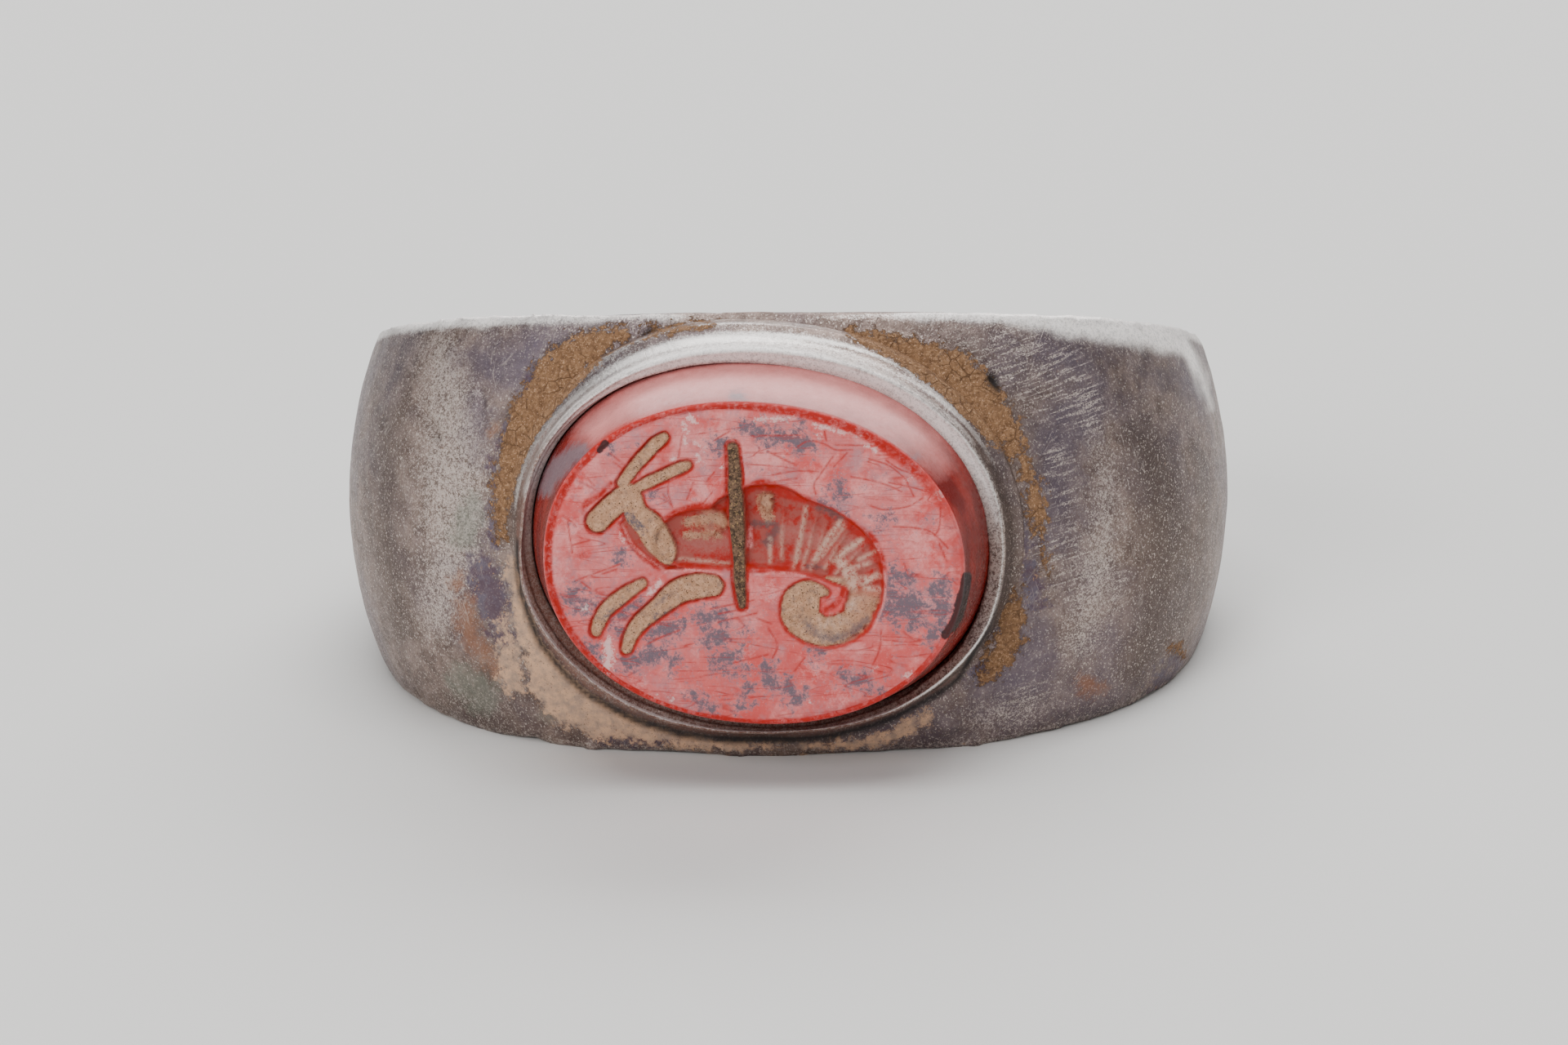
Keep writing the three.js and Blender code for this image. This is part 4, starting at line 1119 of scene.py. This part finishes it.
def silver_finish():
    """Grey worn silver with tarnish, file marks and scratches, painted highlights and painted shade, under
    what soil and sand still cling to it.
    """
    f = Finish("worn_silver")
    surface = f.node("ShaderNodeAttribute", attribute_name="surface").outputs["Vector"]
    mottle = f.noise(1.6, 5, 0.7)
    grain = f.noise(9, 4, 0.75)
    specks = f.noise(17, 2, 0.6, turn=(1, 0, 2))
    sparkle = f.less(f.noise(21, 3, 0.8, turn=(2, 1, 1)), 0.5)
    grit = f.plus(grain, sparkle)
    metal = f.mix(f.between(mottle, 0.38, 0.61), SILVER_DARK, SILVER)
    metal = f.mix(f.between(f.noise(0.32, 3, 0.55), 0.42, 0.6, 0, 0.5), metal, TARNISH_BLUE)
    metal = f.mix(f.times(f.value("shaded"), 0.8), metal, SILVER_DEEP)
    # Brighter silver for painted highlights on the lit shoulders and rims, and for rubbed wear.
    worn = f.plus(f.times(f.less(grain, 0.5), 1.8), f.times(sparkle, 2.6))
    lit_and_rubbed = f.between(f.plus(f.times(f.value("lit_and_rubbed"), 0.6), worn), 0.36, 0.76, 0, 0.8)
    metal = f.mix(lit_and_rubbed, metal, SILVER_BRIGHT)
    # Painted glints: bright specks in the colour, for the sparkle of rough silver.
    metal = f.mix(f.between(specks, 0.58, 0.66, 0, 0.85), metal, SILVER_BRIGHT)
    metal = f.mix(f.between(grain, 0.47, 0.33, 0, 0.75), metal, SILVER_DARK)
    metal = f.mix(f.between(sparkle, -0.06, -0.18, 0, 0.75), metal, SILVER_DARK)
    metal = f.mix(f.between(f.noise(5.5, 3, 0.7, turn=(3, 3, 0)), 0.36, 0.28, 0, 0.6), metal, SILVER_DARK)
    # Clean silver on worn edges and the burnished crest, and painted highlights along the top edge and the
    # collar's upper side.
    metal = f.mix(f.patch("worn_bright_and_highlight", f.times(worn, 0.35), 0.3, 0.75), metal, CLEAN_SILVER_AND_HIGHLIGHT)

    def edged(name, wobble, size, low, high, strength=1.0):
        """A painted patch whose border is broken up by fine noise of its own."""
        border = f.less(f.noise(size, 6, 0.8, turn=(0, 2, len(name))), 0.5)
        return f.patch(name, f.times(border, wobble), low, high, strength)

    tarnish = f.mix(f.between(f.noise(2.4, 4, 0.65, turn=(2, 0, 0)), 0.42, 0.6), TARNISH_PURPLE, TARNISH_BLUE)
    metal = f.mix(edged("violet_haze", 2.2, 1.6, 0.2, 1.0, 0.5), metal, TARNISH_BLUE)
    metal = f.mix(edged("purple", 2.6, 3.0, 0.4, 0.65, 0.8), metal, tarnish)
    metal = f.mix(edged("rust", 2.4, 2.6, 0.35, 0.9, 0.6), metal, TARNISH_RUST)
    metal = f.mix(edged("teal", 2.4, 2.2, 0.35, 0.9, 0.45), metal, TARNISH_TEAL)
    # Brown tint on the collar's low side and painted shadow at its foot, duller and less metallic.
    bronze_and_shadow_share = f.times(f.value("bronze_and_shadow"), f.between(grit, 0.35, 0.65, 1.0, 0.45))
    metal = f.mix(bronze_and_shadow_share, metal, BRONZE_AND_SHADOW_TINT)
    # Near white for the burnished lip, painted lighter on the collar's top side as painted highlight, and for
    # the painted highlight on the band's top edge.
    metal = f.mix(f.value("lip"), metal, f.mix(f.between(grit, 0.30, 0.54), BURNISH_AND_HIGHLIGHT_DIM, BURNISH_AND_HIGHLIGHT_GREY))

    # File marks and handling scratches follow the surface, and catch the light along their edges.
    def marks(turn, size, where, seed):
        wave = f.noise(size, 2, 0.5, vector=f.mapped(surface, (0, 0, turn)), stretch=(0.1, 1, 1))
        line = f.between(f.math("ABSOLUTE", f.less(wave, 0.5)), 0, 0.010, 1, 0)
        return f.times(line, f.between(f.noise(where, 3, turn=seed), 0.52, 0.64, 0, 0.4))

    dashes = f.noise(11, 2, 0.5, vector=f.mapped(surface, (0, 0, -0.2)), stretch=(0.08, 1, 1))
    dashes = f.times(f.between(dashes, 0.53, 0.59), f.between(sparkle, -0.03, 0.03))
    filed = f.times(dashes, edged("filed", 1.8, 2.5, 0.3, 0.8))
    scratch = f.most(filed, f.most(marks(-0.9, 3.4, 1.4, (1, 1, 4)), marks(1.35, 3.0, 1.2, (3, 1, 0))))
    metal = f.mix(f.times(scratch, 0.85), metal, SILVER_BRIGHT)

    cracked = f.node("ShaderNodeTexVoronoi", f.here, feature="DISTANCE_TO_EDGE")
    cracked.inputs["Scale"].default_value = 2.2
    crack = f.between(cracked.outputs["Distance"], 0.0, 0.045, 1, 0)
    crack = f.times(crack, f.between(f.noise(0.8, 2, turn=(0, 1, 1)), 0.45, 0.55))
    crumb = f.noise(6.5, 5, 0.75)
    earth = f.mix(f.between(crumb, 0.36, 0.62), SOIL_DARK, SOIL_TAN)
    earth = f.mix(f.between(f.noise(11, 4, 0.7, turn=(1, 3, 0)), 0.52, 0.66), earth, SOIL_GOLD)
    earth = f.mix(f.between(f.noise(22, 2, 0.6, turn=(2, 2, 2)), 0.60, 0.66, 0, 0.6), earth, FILM_SAND)
    earth = f.mix(f.times(crack, 0.8), earth, SOIL_DARK)
    sandy = f.mix(f.between(f.noise(3.2, 5, 0.65, turn=(2, 1, 5)), 0.38, 0.6), FILM_GREY, FILM_SAND)
    sandy = f.mix(f.between(specks, 0.62, 0.68, 0, 0.7), sandy, SOIL_DARK)

    crust_specks = f.between(f.noise(7.5, 3, 0.7, turn=(5, 1, 2)), 0.63, 0.67, 0, 0.8)
    crust_specks = f.times(crust_specks, f.between(f.value("purple"), 0.2, 0.6))
    film_here = edged("film", 2.4, 2.6, 0.40, 0.62, 0.9)
    soil_here = edged("soil", 2.6, 3.4, 0.44, 0.58)
    tint = f.mix(crust_specks, metal, SOIL_GOLD)
    tint = f.mix(film_here, tint, sandy)
    tint = f.mix(soil_here, tint, earth)
    # Painted shadow in near black under the collar's crest, in the pits and along the stone's edge.
    tint = f.mix(f.times(f.value("crevice_shadow"), 0.92), tint, SHADOW_BLACK)

    # Matt where soil, sand and crust cover the metal and where painted shadow lies.
    cover_and_shadow = f.most(f.most(soil_here, f.most(film_here, f.value("crevice_shadow"))), crust_specks)
    dulled = f.between(f.value("purple"), 0.2, 0.8, 0.92, 0.644)
    # Less metallic under the brown tint, the painted foot shadow and the painted highlight.
    metal_left = f.less(1.0, f.times(f.most(bronze_and_shadow_share, f.value("lip")), 0.9))
    rough = f.between(f.noise(4, 5, 0.75, turn=(0, 0, 3)), 0.3, 0.7, 0.30, 0.56)
    relief = f.plus(f.times(grain, 0.6), f.times(mottle, 0.8))
    relief = f.plus(relief, f.times(sparkle, f.between(f.value("worn_bright_and_highlight"), 0, 1, 0.35, 0.08)))
    relief = f.less(relief, f.times(scratch, 0.5))
    gritty = f.times(f.less(crumb, f.times(crack, 0.5)), 2.6)
    relief = f.plus(relief, f.times(gritty, soil_here))
    f.shade(
        Base_Color=tint,
        Metallic=f.times(f.times(f.less(1.0, cover_and_shadow), metal_left), dulled),
        Roughness=f.plus(rough, f.times(cover_and_shadow, 0.4)),
        Specular_IOR_Level=SILVER_SPECULAR,
        Normal=f.bump(relief, 0.035 * MM, 0.8),
    )
    return f.material


hoop = hoop_blank()
age_hoop(hoop)
for face in hoop.data.polygons:
    face.use_smooth = True
worn_silver = silver_finish()
hoop.data.materials.append(worn_silver)
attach(hoop, "root")
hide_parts("silver_hoop")

# The bezel's collar
# The wall that was cast up round the stone and rubbed down over its edge with a burnisher, so its lip is
# uneven, thick above and at the right and thin below, and its crest has kept the brightest silver.
# Its upper side is painted lighter as painted highlight, and its low outer wall darker as painted shade.

COLLAR_STEPS_ROUND, COLLAR_STEPS_ACROSS = 800, 76
SECTION_LENGTH = 3.5
UNEVEN_ROUND = (6.1, 4.9)
COLLAR_RUBBING = 3
FOOT_OUT, FOOT_DEPTH = 0.82, 0.75
CREST_OUT, CREST_HEIGHT = 0.38, 1.15
LIP_OUT = 0.08
LOW_CREST_LEAN = 0.2
LOW_CREST_PLACE = math.radians(228)
TOP_LIP_PLACE = math.radians(96)
LIP_LIGHT = [
    [(640, 600, 4), (646, 556, 8), (680, 514, 12), (722, 475, 14), (785, 443, 13), (848, 429, 11),
     (900, 426, 10), (960, 431, 9), (1020, 444, 9), (1080, 468, 9), (1130, 500, 8), (1170, 540, 6),
     (1200, 590, 4)],
]
SHADOW_SIDE = [
    [(1190, 560, 12), (1222, 610, 12), (1236, 670, 12), (1232, 730, 12), (1212, 785, 12)],
]
# Painted highlight along the collar's upper side.
COLLAR_HIGHLIGHT = [
    [(634, 612, 4), (645, 572, 8), (668, 524, 11), (700, 486, 12), (745, 452, 13), (800, 430, 14),
     (860, 416, 16), (930, 414, 18), (1010, 424, 16), (1090, 455, 10), (1150, 492, 8), (1200, 560, 6),
     (1225, 640, 5)],
]


def collar_blank():
    """A ring of metal whose section is drawn from a round into foot, wall, crest and lip."""
    bpy.ops.object.select_all(action="DESELECT")
    bpy.ops.mesh.primitive_torus_add(
        major_segments=COLLAR_STEPS_ROUND,
        minor_segments=COLLAR_STEPS_ACROSS,
        major_radius=1,
        minor_radius=0.1,
    )
    collar = bpy.context.object
    collar.name = "bezel_collar"
    torus = vertex_places(collar)
    round_angle = np.arctan2(torus[:, 1], torus[:, 0])
    section = np.arctan2(torus[:, 2], np.hypot(torus[:, 0], torus[:, 1]) - 1)
    across = np.mod(section + math.pi / 2, 2 * math.pi) / (2 * math.pi)
    cos, sin = np.cos(round_angle), np.sin(round_angle)
    towards_low = np.cos(round_angle - LOW_CREST_PLACE)

    def uneven(height, size, seed):
        ringed = np.column_stack([cos * UNEVEN_ROUND[0], sin * UNEVEN_ROUND[1], np.zeros(len(cos))])
        return height * lattice_noise(ringed, size, seed)

    crest_out = CREST_OUT + 0.05 * cos + uneven(0.022, 1.6, 51) + uneven(0.014, 0.5, 52)
    crest_out += LOW_CREST_LEAN * ramp(towards_low, 0.65, 0.95)
    lip_out = LIP_OUT + 0.2 * towards_low + uneven(0.015, 0.9, 53)
    lip_out += ramp(cos, 0.2, 0.9) * np.abs(uneven(0.03, 0.3, 54))
    crest_high = CREST_HEIGHT + uneven(0.03, 1.9, 55) + uneven(0.018, 0.6, 56)
    foot_out = FOOT_OUT + uneven(0.03, 2.5, 57)

    # The section runs from under the metal up the flared foot, over the crest and the lip, and down inside.
    # Each row is how far along it, how far out from the girdle, and how high.
    rows = [
        (0.0, foot_out - 0.02, -FOOT_DEPTH),
        (0.16, foot_out, -0.02),
        (0.30, np.maximum(foot_out - 0.26, crest_out + 0.07), 0.34),
        (0.40, crest_out + 0.03, 0.76),
        (0.46, crest_out + 0.005, crest_high - 0.09),
        (0.50, crest_out - 0.035, crest_high - 0.015),
        (0.54, crest_out - 0.09, crest_high),
        (0.60, (crest_out + lip_out) / 2 - 0.02, crest_high - 0.05),
        (0.66, lip_out + 0.02, crest_high - 0.11),
        (0.72, lip_out, crest_high - 0.2),
        (0.80, np.minimum(lip_out, 0.03), 0.8),
        (0.92, 0.06, -0.6),
        (1.0, foot_out - 0.02, -FOOT_DEPTH),
    ]
    out, height = np.zeros(len(cos)), np.zeros(len(cos))
    for (start, near_out, near_height), (end, far_out, far_height) in zip(rows, rows[1:]):
        here = (across >= start) & (across <= end)
        share = (across - start) / (end - start)
        out = np.where(here, blend(share, near_out, far_out), out)
        height = np.where(here, blend(share, near_height, far_height), height)
    oval = np.column_stack([
        squared(cos, OVAL_SQUARENESS) * (GIRDLE_HALF[0] + out),
        squared(sin, OVAL_SQUARENESS) * (GIRDLE_HALF[1] + out),
        height,
    ])
    turn = np.array(Matrix.Rotation(OVAL_TURN, 3, "Z"))
    set_vertex_places(collar, in_row_frame(oval @ turn.T, bezel_frame))
    smooth_over(collar, COLLAR_RUBBING)
    return collar, across, round_angle


collar, across, round_angle = collar_blank()
keep_surface_map(collar, round_angle * GIRDLE_HALF[0], across * SECTION_LENGTH)
pixels = photo_pixels(vertex_places(collar))
streaks = lattice_noise(np.column_stack([round_angle * 1.6, across * 26, across * 0]), 1.0, 61)
low_part = ramp(np.cos(round_angle - LOW_CREST_PLACE), -0.1, 0.35)
top_part = ramp(np.cos(round_angle - TOP_LIP_PLACE), -0.2, 0.5)
foot_shadow = strokes_near(pixels, FOOT_SHADOW, 2.5)
crest_line = np.exp(-(((across - 0.52 - 0.045 * low_part) / (0.022 + 0.008 * low_part)) ** 2))
lip_line = np.exp(-(((across - 0.665) / 0.02) ** 2))
crest = (0.7 + 0.4 * low_part) * (crest_line + 0.7 * lip_line * (1 - low_part))
# The burnished crest, brightened further by painted highlights along the collar's upper side.
worn_bright_and_highlight = np.maximum(crest, 0.7 * strokes_near(pixels, COLLAR_HIGHLIGHT, 14)) + 0.3 * streaks
shadow_side = strokes_near(pixels, SHADOW_SIDE, 8) * ramp(across, 0.5, 0.44)
# Painted shade on the low side's outer wall, which faces away from the light.
low_wall_shade = 0.9 * low_part * ramp(across, 0.3, 0.36) * ramp(across, 0.52, 0.46)
# Painted highlight: the lip lighter on the collar's top side and along its upper-left band, over the
# burnished silver.
lit_lip = 0.9 * strokes_near(pixels, LIP_LIGHT, 6) * ramp(across, 0.34, 0.42)
lip = np.maximum(ramp(across, 0.54, 0.58) * top_part, lit_lip)
# Brown tint on the collar's low side, with painted shadow at its foot.
bronze_and_foot_shadow = np.maximum(ramp(across, 0.30, 0.36), foot_shadow) * low_part * (1 - 0.8 * crest_line)
# Painted shadow under the crest, and along the lip's joint with the stone.
crevice_shadow = strokes_near(pixels, CREST_SHADOW_LINE, 2.5) * ramp(across, 0.52, 0.46)
paint(collar, "worn_bright_and_highlight", worn_bright_and_highlight * (1 - shadow_side))
paint(collar, "lit_and_rubbed", ramp(across, 0.4, 0.5))
paint(collar, "shaded", np.maximum(shadow_side, low_wall_shade))
paint(collar, "lip", lip * (0.9 + 0.4 * streaks))
paint(collar, "bronze_and_shadow", (0.9 + 0.3 * streaks) * bronze_and_foot_shadow)
paint(collar, "crevice_shadow", np.maximum(crevice_shadow, ramp(across, 0.79, 0.805)))
paint(collar, "film", strokes_near(pixels, SAND_FILM, 8) * ramp(across, 0.36, 0.30) * (1 - foot_shadow))
paint(collar, "soil", 0.9 * strokes_near(pixels, SOIL, 9) * ramp(across, 0.34, 0.24))
for face in collar.data.polygons:
    face.use_smooth = True
collar.data.materials.append(worn_silver)
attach(collar, "root")
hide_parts("silver_hoop")
